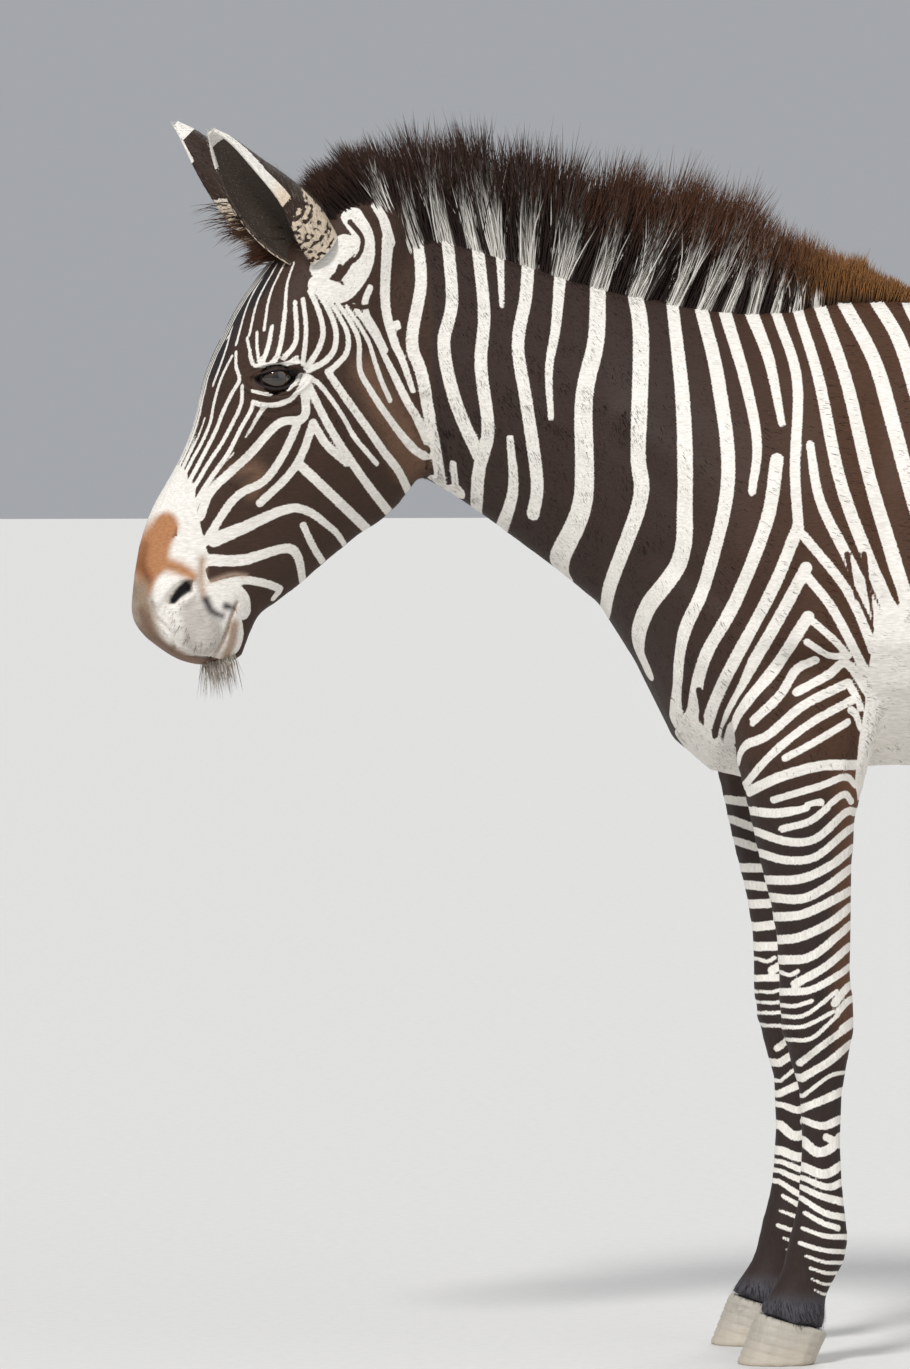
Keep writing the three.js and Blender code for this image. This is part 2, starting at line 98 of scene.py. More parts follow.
# ---- white stripes: (first width, last width, then points), all in pixels of the picture ----
NECK_STRIPES = (
    (14, 5, (388, 240), (385, 300), (393, 338), (403, 362), (413, 391)),
    (10, 13, (376, 206), (384, 220), (390, 242)),
    (12, 12, (416, 230), (421, 282), (412, 342), (423, 380), (441, 485)),
    (7, 7, (453, 463), (456, 490)),
    (24, 24, (441, 489), (454, 492)),
    (13, 13, (446, 225), (452, 300), (444, 345), (455, 400), (478, 455)),
    (13, 13, (475, 225), (484, 310), (481, 365), (488, 430), (479, 470), (476, 512)),
    (10, 5, (499, 235), (501, 280), (502, 306)),
    (7, 14, (510, 438), (513, 490), (500, 534)),
    (13, 13, (529, 245), (526, 295), (518, 345), (526, 400), (537, 480), (533, 515)),
    (8, 8, (518, 547), (523, 547)),
    (13, 6, (561, 265), (556, 325), (549, 370), (551, 418)),
    (16, 22, (598, 280), (596, 340), (584, 400), (583, 500), (560, 558), (566, 578)),
    (16, 16, (635, 292), (641, 340), (638, 450), (640, 500), (612, 580), (605, 612)),
    (12, 20, (672, 300), (683, 405), (685, 500), (680, 560), (648, 607), (638, 642), (648, 672)),
    (13.5, 13.5, (701, 308), (718, 380), (728, 480), (706, 580), (682, 640), (675, 720)),
    (13, 8, (725, 312), (745, 380), (757, 442), (752, 492)),
    (14, 7, (751, 312), (769, 360), (782, 424)),
    (10, 10, (776, 312), (797, 380), (795, 470), (799, 532)),
    (12, 12, (797, 530), (772, 590), (722, 685), (703, 735)),
    (9, 9, (803, 535), (840, 580), (858, 612), (873, 650)),
    (13, 13, (777, 459), (767, 520), (736, 600), (704, 660), (692, 720), (695, 735)),
    (8, 13, (810, 444), (820, 500), (848, 558), (884, 632)),
    (10, 14, (798, 311), (819, 380), (840, 480), (869, 560), (890, 610)),
    (12, 15, (819, 304), (846, 380), (870, 480), (894, 560), (908, 605), (925, 650)),
    (14, 15, (843, 301), (874, 360), (892, 420), (908, 480), (932, 565), (950, 640)),
    (14, 15, (876, 301), (899, 340), (918, 400), (938, 480), (958, 560), (975, 640)),
    (14, 15, (908, 302), (935, 360), (956, 430), (975, 510), (992, 590), (1004, 640)),
)
SHOULDER_STRIPES = (
    (12, 12, (806, 568), (778, 620), (746, 675), (719, 722), (715, 740)),
    (9, 9, (806, 575), (832, 608), (857, 655), (872, 688)),
    (12, 12, (808, 617), (775, 668), (738, 715), (725, 765)),
    (7, 7, (808, 617), (834, 640), (848, 656)),
    (7, 7, (807, 642), (828, 655), (845, 656)),
    (9, 9, (815, 660), (796, 670), (780, 695), (752, 722)),
    (9, 9, (797, 692), (828, 675), (847, 664), (871, 697)),
    (9, 9, (848, 683), (804, 705), (768, 735), (744, 747), (735, 772)),
    (8, 7, (848, 683), (856, 696), (861, 708)),
    (8, 8, (852, 700), (808, 725), (770, 756), (744, 786)),
    (8, 5, (851, 710), (856, 715), (860, 728)),
    (7, 7, (848, 722), (815, 742), (785, 758)),
    (44, 44, (895, 640), (895, 700), (880, 765), (868, 780)),
)
FORELEG_STRIPES = (
    (10, 10, (748, 792), (780, 777), (820, 766), (855, 765)),
    (7, 7, (773, 800), (820, 786), (845, 777), (855, 785)),
    (9, 9, (745, 810), (780, 813), (820, 803)),
    (7, 7, (782, 829), (812, 820), (842, 795), (852, 802)),
    (8, 8, (747, 828), (785, 841), (815, 839), (845, 813), (855, 812)),
    (8, 8, (757, 852), (785, 860), (815, 857), (845, 833), (855, 826)),
    (9, 9, (762, 880), (800, 879), (830, 866), (855, 846)),
    (9, 9, (767, 897), (800, 899), (825, 888), (855, 865)),
    (9, 9, (771, 917), (800, 915), (828, 903), (855, 888)),
    (9, 9, (777, 940), (800, 937), (830, 923), (855, 903)),
    (9, 8, (782, 960), (810, 957), (840, 934), (855, 920)),
    (4, 4, (780, 972), (790, 975), (798, 971)),
    (8, 8, (795, 984), (825, 967), (852, 944)),
    (7, 7, (780, 992), (810, 990), (840, 974), (853, 963)),
    (4, 4, (780, 1005), (795, 1006), (812, 1001)),
    (8, 8, (835, 1003), (845, 990), (853, 983)),
    (4, 4, (780, 1016), (805, 1015), (837, 991)),
    (4, 4, (782, 1027), (805, 1026), (833, 1012)),
    (7, 7, (838, 1012), (847, 1002), (854, 998)),
    (4, 4, (790, 1040), (812, 1038), (838, 1015)),
    (6, 6, (842, 1028), (855, 1018)),
    (7, 7, (800, 1063), (830, 1040), (856, 1022)),
    (8, 8, (802, 1078), (830, 1061), (852, 1042)),
    (4, 4, (803, 1096), (828, 1077), (840, 1073)),
    (7, 9, (801, 1109), (828, 1098), (844, 1090)),
    (6, 9, (803, 1120), (823, 1126), (843, 1118)),
    (9, 10, (801, 1139), (817, 1152), (832, 1147), (843, 1132)),
    (7, 9, (826, 1137), (843, 1146)),
    (9, 9, (801, 1166), (825, 1174), (845, 1162)),
    (5, 8, (803, 1178), (828, 1187), (846, 1180)),
    (5, 8, (801, 1187), (821, 1196), (847, 1203)),
    (5, 7, (801, 1198), (825, 1213), (847, 1218)),
    (4, 6, (805, 1213), (823, 1223), (838, 1228)),
    (3, 6, (802, 1228), (825, 1236), (849, 1237)),
    (4, 5, (800, 1243), (822, 1250), (846, 1252)),
    (3, 4, (806, 1256), (824, 1262), (843, 1263)),
    (3, 4, (810, 1268), (826, 1273), (839, 1273)),
    (2.5, 3.5, (812, 1279), (824, 1284), (835, 1284)),
    (2, 3, (815, 1290), (823, 1294), (831, 1294)),
)
FACE_STRIPES = (
    (3, 3, (247, 338), (252, 360), (257, 367)),
    (3, 3, (257, 332), (257, 347), (260, 367)),
    (4, 5, (272, 326), (268, 347), (261, 365)),
    (4, 5, (285, 311), (281, 342), (275, 360), (264, 367)),
    (4, 5, (295, 302), (296, 340), (284, 358)),
    (4, 4, (297, 357), (287, 364), (278, 367)),
    (4, 5, (303, 299), (306, 330), (303, 364)),
    (5, 6, (310, 291), (319, 312), (323, 332), (318, 350), (306, 368)),
    (5, 6, (319, 294), (330, 313), (336, 332), (334, 350), (324, 362), (308, 370)),
    (4, 6, (329, 300), (341, 319), (348, 336), (346, 354), (330, 371)),
    (7, 9, (328, 372), (343, 394), (358, 415), (371, 433), (384, 452), (398, 470), (409, 492)),
    (
        4, 9, (337, 302), (351, 323), (359, 342), (360, 370), (371, 391), (384, 411), (400, 433),
        (414, 449), (426, 457),
    ),
    (3.5, 6, (346, 306), (359, 325), (369, 343), (375, 362), (382, 382), (390, 400)),
    (
        5, 9, (354, 306), (366, 323), (377, 340), (385, 357), (395, 377), (407, 401), (419, 422),
        (428, 442),
    ),
    (7, 7, (370, 288), (365, 302), (367, 315), (376, 331), (385, 350)),
    (5, 5, (306, 376), (318, 383), (331, 399), (343, 417), (353, 435), (365, 450), (377, 464)),
)
CHEEK_STRIPES = (
    (8.5, 8.5, (304, 385), (304, 417), (278, 424), (247, 457), (212, 490), (200, 517)),
    (8, 8, (297, 425), (283, 455), (264, 481), (235, 498), (205, 542)),
    (7, 9, (307, 382), (330, 428), (362, 477), (391, 515)),
    (8, 8, (313, 423), (303, 452), (288, 476), (260, 503)),
    (8, 8, (313, 423), (327, 445), (347, 463)),
    (9.5, 9.5, (300, 465), (337, 500), (368, 530)),
    (14, 5, (214, 540), (243, 528), (295, 508), (331, 528), (347, 548)),
    (7, 7, (303, 525), (314, 548), (326, 567)),
    (12, 8, (203, 560), (243, 560), (291, 549), (303, 582), (301, 590)),
    (8, 8, (206, 588), (243, 580), (278, 588), (274, 598)),
)
FOREHEAD_STRIPES = (
    (2, 3.5, (294, 262), (287, 285), (285, 311)),
    (2, 3, (285, 262), (270, 295), (264, 330)),
    (2, 3, (277, 264), (258, 300), (249, 336)),
    (2, 3, (268, 268), (248, 304), (236, 345)),
    (2, 3.5, (260, 274), (238, 310), (225, 352), (213, 385)),
    (2, 3.5, (252, 281), (228, 322), (213, 362), (200, 405)),
    (2, 3.5, (244, 289), (220, 332), (204, 376), (190, 425)),
    (2, 3.5, (236, 298), (213, 340), (198, 382), (184, 430)),
)
DARK_LINES = (
    (4, 3.5, (248, 370), (262, 369), (285, 368), (302, 371)),
    (3, 2, (252, 397), (268, 399), (280, 397), (290, 391)),
    (7, 2, (674, 700), (677, 716), (685, 737)),
    (7, 2, (699, 690), (702, 718), (704, 750)),
    (4, 8, (748, 655), (742, 669), (735, 685), (728, 698), (721, 712), (716, 728), (713, 742)),
    (6, 4, (748, 722), (737, 742), (732, 764), (732, 788)),
    (6, 2, (847, 554), (851, 575), (856, 600)),
    (6, 2, (864, 554), (868, 585), (872, 612), (873, 634)),
    (7, 2, (884, 566), (894, 590), (904, 618)),
    (6, 4, (350, 222), (362, 238), (359, 255), (344, 268)),
    (5, 3, (340, 266), (337, 276), (343, 284)),
    (5, 5, (379, 236), (378, 262), (377, 290), (369, 306), (352, 306)),
    (6, 2, (262, 566), (285, 572), (297, 590)),
)
EYE_STRIPES = (
    (3, 4.5, (252, 391), (268, 394), (282, 392), (294, 384), (303, 375)),
    (5, 5, (253, 402), (263, 405), (280, 404), (292, 398), (300, 388), (305, 377)),
    (4, 4, (262, 365), (280, 364), (298, 362)),
    (3, 3, (250, 350), (250, 358), (254, 366), (264, 366)),
)
WHITE_PATCHES = (
    (10, 14, (176, 500), (180, 520)),
    (18, 34, (180, 478), (168, 500), (158, 522), (150, 545)),
    (16, 18, (188, 490), (186, 518), (186, 545)),
    (12, 26, (190, 505), (192, 530), (196, 560)),
    (86, 86, (158, 560), (170, 600), (198, 634)),
    (30, 44, (215, 600), (228, 640)),
    (22, 16, (230, 590), (241, 600), (245, 612)),
    (20, 22, (318, 285), (342, 292), (362, 266), (364, 238), (352, 216)),
    (24, 24, (322, 268), (345, 246)),
    (8, 16, (431, 478), (448, 490)),
    (22, 30, (688, 742), (712, 770), (736, 800)),
    (6, 6, (397, 323), (398, 327)),
)
BRIDGE_STRIPES = (
    (2, 3.5, (205, 418), (198, 437), (187, 460), (178, 480)),
    (3, 4.5, (232, 356), (221, 379), (214, 403), (210, 423), (202, 442), (192, 460), (181, 482)),
    (
        3.5, 5, (236, 352), (236, 366), (239, 380), (231, 395), (223, 412), (216, 430), (206, 450),
        (188, 484),
    ),
    (3.5, 4.5, (242, 386), (241, 404), (231, 426), (220, 446), (208, 464), (188, 498)),
    (4.5, 5, (253, 405), (249, 414), (240, 430), (230, 450), (218, 468), (205, 487), (190, 512)),
    (4.5, 2, (263, 409), (257, 418), (251, 429), (246, 437)),
    (1.5, 2.5, (234, 453), (224, 463), (210, 482), (196, 508)),
    (1.5, 2.5, (229, 470), (215, 488), (203, 512)),
)


# ---- small helpers ----
def linear(red, green, blue):
    """A screen colour, 0 to 255 a channel, as light."""
    channels = np.array([red, green, blue]) / 255
    return np.where(channels <= 0.04045, channels / 12.92, ((channels + 0.055) / 1.055) ** 2.4)


def ramp(value, start, end):
    """0 at start, 1 at end, with a soft S between. Either end may be the larger."""
    t = np.clip((value - start) / (end - start), 0, 1)
    return t * t * (3 - 2 * t)


def unit(vectors):
    return vectors / np.maximum(np.linalg.norm(vectors, axis=-1, keepdims=True), 1e-12)


def wander(points, size, seed):
    """A smooth pseudo-random number from -1 to 1 at each point, in lumps of about this size."""
    random = np.random.default_rng(seed)
    total = np.zeros(len(points))
    waves = 6
    for _ in range(waves):
        heading = unit(random.normal(size=3))
        phase = random.uniform(0, 2 * math.pi)
        total += np.sin(points @ heading * (2 * math.pi / size) * random.uniform(0.6, 1.4) + phase)
    return total / math.sqrt(waves * 2)


# ---- straight, bent and head coordinates ----
def straighten(points):
    """Bent points put back on the straight animal."""
    ahead = BEND_FROM - points[:, 0]
    across = points[:, 1] + BEND_RADIUS
    turned = np.arctan2(ahead, across)
    result = points.copy()
    arc = (turned > 0) & (turned <= BEND_ANGLE)
    result[arc, 0] = BEND_FROM - BEND_RADIUS * turned[arc]
    result[arc, 1] = np.hypot(ahead[arc], across[arc]) - BEND_RADIUS
    past = turned > BEND_ANGLE
    sine, cosine = math.sin(BEND_ANGLE), math.cos(BEND_ANGLE)
    from_end = points[past, :2] - np.array([
        BEND_FROM - BEND_RADIUS * sine,
        -BEND_RADIUS * (1 - cosine),
    ])
    result[past, 0] = BEND_FROM - BEND_LENGTH - from_end @ np.array([-cosine, -sine])
    result[past, 1] = from_end @ np.array([-sine, cosine])
    return result


def bend(points):
    """Straight points on the animal with its neck turned to its left."""
    ahead = np.maximum(BEND_FROM - points[:, 0], 0)
    turn = BEND_ANGLE * np.minimum(1, ahead / BEND_LENGTH)
    beyond = np.maximum(ahead - BEND_LENGTH, 0)
    sine, cosine = np.sin(turn), np.cos(turn)
    result = points.copy()
    bent = ahead > 0
    x = BEND_FROM - BEND_RADIUS * sine - beyond * cosine - points[:, 1] * sine
    y = -BEND_RADIUS * (1 - cosine) - beyond * sine + points[:, 1] * cosine
    result[bent, 0] = x[bent]
    result[bent, 1] = y[bent]
    return result


def folded(straight):
    """Straight points with the right side laid on the left, and the inside of each leg on its outside.

    A leg's own depth is pressed nearly flat, so that its two sides carry one pattern.
    """
    result = straight.copy()
    middle = LEG_MIDDLE + LEG_SPLAY * straight[:, 2]
    depth = np.abs(straight[:, 1]) - middle
    leg = straight[:, 2] < LEG_FOLD_HEIGHT
    result[:, 1] = np.where(leg, LEG_PRESS * np.abs(depth), depth)
    return result


# ---- meshes ----
def put_in_scene(name, data):
    """A new object for this mesh, camera or lamp."""
    thing = bpy.data.objects.new(name, data)
    bpy.context.scene.collection.objects.link(thing)
    return thing


def adopt(name, mesh):
    """Puts a mesh in the scene as a smooth piece that rides on the one body."""
    piece = put_in_scene(name, mesh)
    mesh.shade_smooth()
    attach(piece, "root")
    return piece


def new_piece(name, vertices, faces):
    """A piece from its points and the faces between them."""
    mesh = bpy.data.meshes.new(name)
    mesh.from_pydata(np.asarray(vertices).tolist(), [], np.asarray(faces).tolist())
    return adopt(name, mesh)


def ring_faces(rows, around, outward=True):
    """Squares between closed rows of points, turned over where they face inward."""
    faces = []
    for row in range(rows - 1):
        here, there = row * around, (row + 1) * around
        for spot in range(around):
            after = (spot + 1) % around
            faces.append((here + spot, here + after, there + after, there + spot))
    return faces if outward else [face[::-1] for face in faces]


def read(source, key, width, kind=float):
    """One property of all of a mesh's vertices, edges or triangles, in rows of this width."""
    flat = np.empty(len(source) * width, dtype=kind)
    source.foreach_get(key, flat)
    return flat.reshape(-1, width)


def positions(mesh):
    return read(mesh.vertices, "co", 3)


def normals(mesh):
    return read(mesh.vertex_normals, "vector", 3)


def edge_ends(mesh):
    return read(mesh.edges, "vertices", 2, np.int64)


def set_positions(mesh, points):
    mesh.vertices.foreach_set("co", np.ascontiguousarray(points, dtype=np.float64).ravel())
    mesh.update()


def relax(points, edges, rounds, weight=1.0, keep_size=True):
    """Evens out lumps. With keep_size, each shrinking pass is followed by a swelling one."""
    count = len(points)
    first, second = edges[:, 0], edges[:, 1]
    degree = np.bincount(first, minlength=count) + np.bincount(second, minlength=count)
    degree = np.maximum(degree, 1)
    steps = (0.55, -0.57) if keep_size else (0.5,)
    for _ in range(rounds):
        for step in steps:
            for axis in range(3):
                column = points[:, axis]
                total = np.bincount(first, weights=column[second], minlength=count)
                total += np.bincount(second, weights=column[first], minlength=count)
                points[:, axis] = column + step * weight * (total / degree - column)
    return points


def solid_copy(name, nodes, square, swell):
    """One closed mesh round these CAD nodes, remade in even squares. Swelling closes their cuts."""
    joined = bmesh.new()
    for node in nodes:
        joined.from_mesh(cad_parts[node].data)
    bmesh.ops.remove_doubles(joined, verts=joined.verts, dist=1e-5)
    joined.normal_update()
    for vertex in joined.verts:
        vertex.co += vertex.normal * swell
    mesh = bpy.data.meshes.new(name + "_rough")
    joined.to_mesh(mesh)
    joined.free()
    rough = put_in_scene(name + "_rough", mesh)
    remesh = rough.modifiers.new("even", "REMESH")
    remesh.mode = "VOXEL"
    remesh.voxel_size = square
    evaluated = rough.evaluated_get(bpy.context.evaluated_depsgraph_get())
    result = bpy.data.meshes.new_from_object(evaluated)
    result.name = name
    bpy.data.objects.remove(rough)
    return result


def subdivide_where(mesh, wanted):
    """Cuts each face whose corners are all wanted into four."""
    work = bmesh.new()
    work.from_mesh(mesh)
    work.verts.ensure_lookup_table()
    chosen = set()
    for face in work.faces:
        if all(wanted[corner.index] for corner in face.verts):
            chosen.update(face.edges)
    bmesh.ops.subdivide_edges(work, edges=list(chosen), cuts=1, use_grid_fill=True)
    work.to_mesh(mesh)
    work.free()


# ---- the skin ----
SKIN_SQUARE = 0.0062
CUT_CLOSING = 0.0007
COAT_DEPTH = 0.0022
SKIN_ROUNDS = 40
BARREL_ROUNDS = 70
FINE_ROUNDS = 6
# Where the barrel and the rump fade in from the front and from below, and out at the rear.
BARREL = ((-0.02, 0.12), (0.70, 0.80), (0.52, 0.66))
RUMP = ((0.5, 0.62), (0.95, 1.1), (1.0, 1.08))
ELBOW_X = (-0.36, -0.02)
ELBOW_Z = (0.74, 1.12)
FINE_LEG_TOP = 0.70
HEAD_LIMITS = {"along": -0.06, "out": 0.2, "x": -0.72}


def head_place(straight):
    """How far along the head from the poll, and how far out to its front, each place lies."""
    return (straight - POLL) @ ALONG, (straight - POLL) @ OUT


def in_head(straight):
    along, out = head_place(straight)
    behind = (along > HEAD_LIMITS["along"]) & (out < HEAD_LIMITS["out"])
    return behind & (straight[:, 0] < HEAD_LIMITS["x"])


def on_barrel(straight):
    """One on the barrel of the body and the rump, nothing on the neck, chest and legs."""
    x, z = straight[:, 0], straight[:, 2]
    shares = [
        ramp(x, *front) * ramp(z, *below) * (1 - ramp(x, *rear)) for front, below, rear in (BARREL, RUMP)
    ]
    return np.maximum(*shares)


def fine_skin(straight):
    """Where markings and folds are small: the head, the shoulder's point and the lower legs."""
    x, z = straight[:, 0], straight[:, 2]
    elbow = (x > ELBOW_X[0]) & (x < ELBOW_X[1]) & (z > ELBOW_Z[0]) & (z < ELBOW_Z[1])
    return in_head(straight) | elbow | (z < FINE_LEG_TOP)


EAR_ROOT = (0.048, 0.046, 0.054)
EAR_TIPS = {-1: (-0.041, 0.249, 0.088), 1: (-0.047, 0.264, 0.090)}
EAR_TURN = math.radians(30)
EAR_RADIUS = ((0, 0.036), (0.2, 0.0455), (0.45, 0.0475), (0.7, 0.0375), (0.88, 0.025), (1, 0.010))
EAR_WRAP = ((0, 158), (0.2, 138), (0.45, 110), (0.75, 88), (1, 66))
EAR_WALL = 0.0045
EAR_BOW = 0.01
EAR_RIPPLE = 0.012
EAR_ROWS = 88
EAR_TURNS = 52


def profile(at, knots):
    """A smooth curve through knots (at, value), read at these places."""
    curve = smooth_line(knots, 0.01)
    return np.interp(at, curve[:, 0], curve[:, 1])


def build_ear(side):
    """A cup-shaped ear in rows: its points, its share along and round, and 1 where inside."""
    root = POLL + EAR_ROOT[0] * ALONG + EAR_ROOT[1] * OUT + np.array([0, side * EAR_ROOT[2], 0])
    along, out, apart = EAR_TIPS[side]
    tip = POLL + along * ALONG + out * OUT + np.array([0, side * apart, 0])
    axis = unit(tip - root)
    forwards = ALONG + 0.6 * OUT
    forwards = unit(forwards - axis * (forwards @ axis))
    outwards = np.array([0.0, side, 0.0])
    outwards = unit(outwards - axis * (outwards @ axis))
    opening = unit(forwards * math.cos(EAR_TURN) + outwards * math.sin(EAR_TURN))
    across = np.cross(axis, opening)
    share = np.linspace(0, 1, EAR_ROWS)[:, None]
    radius = profile(share, EAR_RADIUS)
    wrap = np.radians(profile(share, EAR_WRAP))
    bow = EAR_BOW * np.sin(np.pi * share ** 1.6)
    sweep = np.linspace(-1, 1, EAR_TURNS)
    turn = np.concatenate([sweep, sweep[::-1] * 0.985])[None, :]
    inside = np.concatenate([np.zeros(EAR_TURNS), np.ones(EAR_TURNS)])[None, :]
    reach = np.maximum(radius - EAR_WALL * inside, radius * (1 - 0.55 * inside))
    ripple = 1 + EAR_RIPPLE * np.sin(turn * 9 + share * 5) * inside
    angle = turn * wrap
    spots = (
        root + share[..., None] * (tip - root) + bow[..., None] * forwards
        - (reach * ripple * np.cos(angle))[..., None] * opening
        + (reach * ripple * np.sin(angle))[..., None] * across
    )
    whole = np.ones_like(reach)
    return (
        spots.reshape(-1, 3), (share * whole).ravel(), (turn * whole).ravel(), (inside * whole).ravel(),
    )


def ear_faces():
    """The squares between an ear's rows, and a cap on its tip."""
    ring = 2 * EAR_TURNS
    faces = ring_faces(EAR_ROWS, ring)
    last = (EAR_ROWS - 1) * ring
    for spot in range(EAR_TURNS - 1):
        far = ring - 1 - spot
        faces.append((last + spot, last + spot + 1, last + far - 1, last + far))
    return np.array(faces)


def build_skin():
    """The whole skin, and for each vertex its place on an ear as (share, turn, inside)."""
    mesh = solid_copy("skin", FLESH, SKIN_SQUARE, CUT_CLOSING)
    points = relax(positions(mesh), edge_ends(mesh), SKIN_ROUNDS)
    barrel = on_barrel(straighten(points))
    set_positions(mesh, relax(points, edge_ends(mesh), BARREL_ROUNDS, barrel, keep_size=False))
    subdivide_where(mesh, fine_skin(straighten(positions(mesh))))
    set_positions(mesh, relax(positions(mesh), edge_ends(mesh), FINE_ROUNDS))
    body = positions(mesh) - normals(mesh) * COAT_DEPTH
    sides = [build_ear(side) for side in (-1, 1)]
    points = np.vstack([body] + [bend(side[0]) for side in sides])
    faces = [tuple(face.vertices) for face in mesh.polygons]
    for index in range(len(sides)):
        faces += (ear_faces() + len(body) + index * len(sides[0][0])).tolist()
    ear = np.zeros((len(points), 3))
    ear[len(body):] = np.vstack([np.column_stack(side[1:]) for side in sides])
    skin_mesh = bpy.data.meshes.new("skin")
    skin_mesh.from_pydata(points.tolist(), [], faces)
    bpy.data.meshes.remove(mesh)
    skin = adopt("skin", skin_mesh)
    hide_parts(*FLESH, "left_ear", "right_ear")
    return skin, ear


# ---- strokes on the skin ----
def smooth_line(points, spacing):
    """A curve through these points, as a list of places this far apart."""
    points = np.array(points, dtype=float)
    before, after = 2 * points[0] - points[1], 2 * points[-1] - points[-2]
    padded = np.vstack([before, points, after])
    places = []
    for index in range(len(points) - 1):
        a, b, c, d = padded[index:index + 4]
        steps = max(2, int(np.linalg.norm(c - b) / spacing))
        t = np.linspace(0, 1, steps, endpoint=False)[:, None]
        curve = 2 * b + (c - a) * t + (2 * a - 5 * b + 4 * c - d) * t ** 2
        places.append(0.5 * (curve + (3 * b - a - 3 * c + d) * t ** 3))
    places.append(points[-1:])
    return np.vstack(places)


def pixel_ray(pixel):
    """The direction from the camera through this pixel."""
    across = (pixel[0] - IMAGE_SIZE[0] / 2) * PIXEL
    down = (pixel[1] - IMAGE_SIZE[1] / 2) * PIXEL
    return unit(FORWARD * CAMERA_DISTANCE + RIGHT * across - UP * down)


def pixels_of(points):
    """Where the camera sees these places, in pixels of the picture."""
    seen = points - CAMERA_PLACE
    depth = seen @ FORWARD
    scale = CAMERA_DISTANCE / depth / PIXEL
    return np.column_stack([
        IMAGE_SIZE[0] / 2 + seen @ RIGHT * scale,
        IMAGE_SIZE[1] / 2 - seen @ UP * scale,
    ])


def seen_skin(tree, pixel):
    """The skin's place and facing under this pixel, or None and None."""
    return tree.ray_cast(Vector(CAMERA_PLACE), Vector(pixel_ray(pixel)))[:2]


def past_leg(tree, pixel, way):
    """Whether the near leg ends just beyond this pixel, on the side that way (-1 or 1) says."""
    hit, _ = seen_skin(tree, pixel + np.array([way * LEG_EDGE_PIXELS, 0]))
    return hit is None or hit.y > 0


def cast_stroke(tree, stroke, spacing=2.0):
    """A stroke's places on the folded skin and its half widths. It runs on past a leg's outline."""
    first_width, last_width = stroke[:2]
    pixels = smooth_line(stroke[2:], spacing)
    widths = np.linspace(first_width, last_width, len(pixels)) * PIXEL / 2
    hits, halves, kept = [], [], []
    for pixel, half in zip(pixels, widths):
        hit, _ = seen_skin(tree, pixel)
        far_leg = hit is not None and hit.z < LEG_FOLD_HEIGHT + 0.05 and hit.y > 0
        if hit is not None and not far_leg:
            hits.append(hit)
            halves.append(half)
            kept.append(pixel)
    if not hits:
        return None
    line = straighten(np.array(hits))
    halves = np.array(halves)
    if line[:, 2].max() < LEG_FOLD_HEIGHT and len(line) > 3:
        for end in (0, -1):
            way = np.sign(kept[end][0] - kept[-1 - end][0])
            if past_leg(tree, kept[end], way):
                place = 0 if end == 0 else len(line)
                past = line[end] + np.array([way * LEG_OVERRUN, 0, 0])
                line = np.insert(line, place, past, axis=0)
                halves = np.insert(halves, place, halves[end])
    return folded(line), halves


def stroke_gap(places, strokes, reach):
    """How far each place lies from the nearest stroke's edge, and below zero inside one."""
    gap = np.full(len(places), reach)
    for stroke in strokes:
        if stroke is None:
            continue
        line, halves = stroke
        low = line.min(0) - reach
        high = line.max(0) + reach
        near = np.flatnonzero(np.all((places > low) & (places < high), axis=1))
        if not len(near):
            continue
        spot = places[near]
        best = np.full(len(near), reach)
        if len(line) == 1:
            best = np.minimum(best, np.linalg.norm(spot - line[0], axis=1) - halves[0])
        for index in range(len(line) - 1):
            start, way = line[index], line[index + 1] - line[index]
            length = max(float(way @ way), 1e-12)
            share = np.clip((spot - start) @ way / length, 0, 1)
            foot = start + share[:, None] * way
            half = halves[index] + share * (halves[index + 1] - halves[index])
            best = np.minimum(best, np.linalg.norm(spot - foot, axis=1) - half)
        gap[near] = np.minimum(gap[near], best)
    return gap


STRIPE_REACH = 0.03
LEG_OVERRUN = 0.018
LEG_EDGE_PIXELS = 7
BACK_HEIGHT = 1.444
PICTURE_EDGE = -0.05
LAST_STRIPE = -0.0517
STRIPE_PITCH = 0.044
NOSE_BAND = 0.018
NOSE_PITCH = 0.0094
NOSE_END = 0.385
HAUNCH_CENTRE = np.array([0.985, 0.0, 0.83])
HAUNCH_REACH = 0.5
BELLY_TOP = 1.05
ELBOW_HEIGHTS = (0.765, 0.79, 0.85, 0.90, 0.97)
ELBOW_EDGE = (-0.134, -0.140, -0.135, -0.127, -0.121)
FLANK_LEAN = 0.30
HALF_STRIPE = 0.0096
HALF_STRIPE_WANDER = 0.0016
WANDER_WIDE = (0.005, 0.22, 3)
WANDER_FINE = (0.0025, 0.07, 4)
RINGS_CLOSER = 0.75
RINGS_CLOSEST_BELOW = 0.4
DARK_BACK = (0.014, 0.016)
RIBBON_WIDTH = 0.012
NOSE_LINE = 0.0021


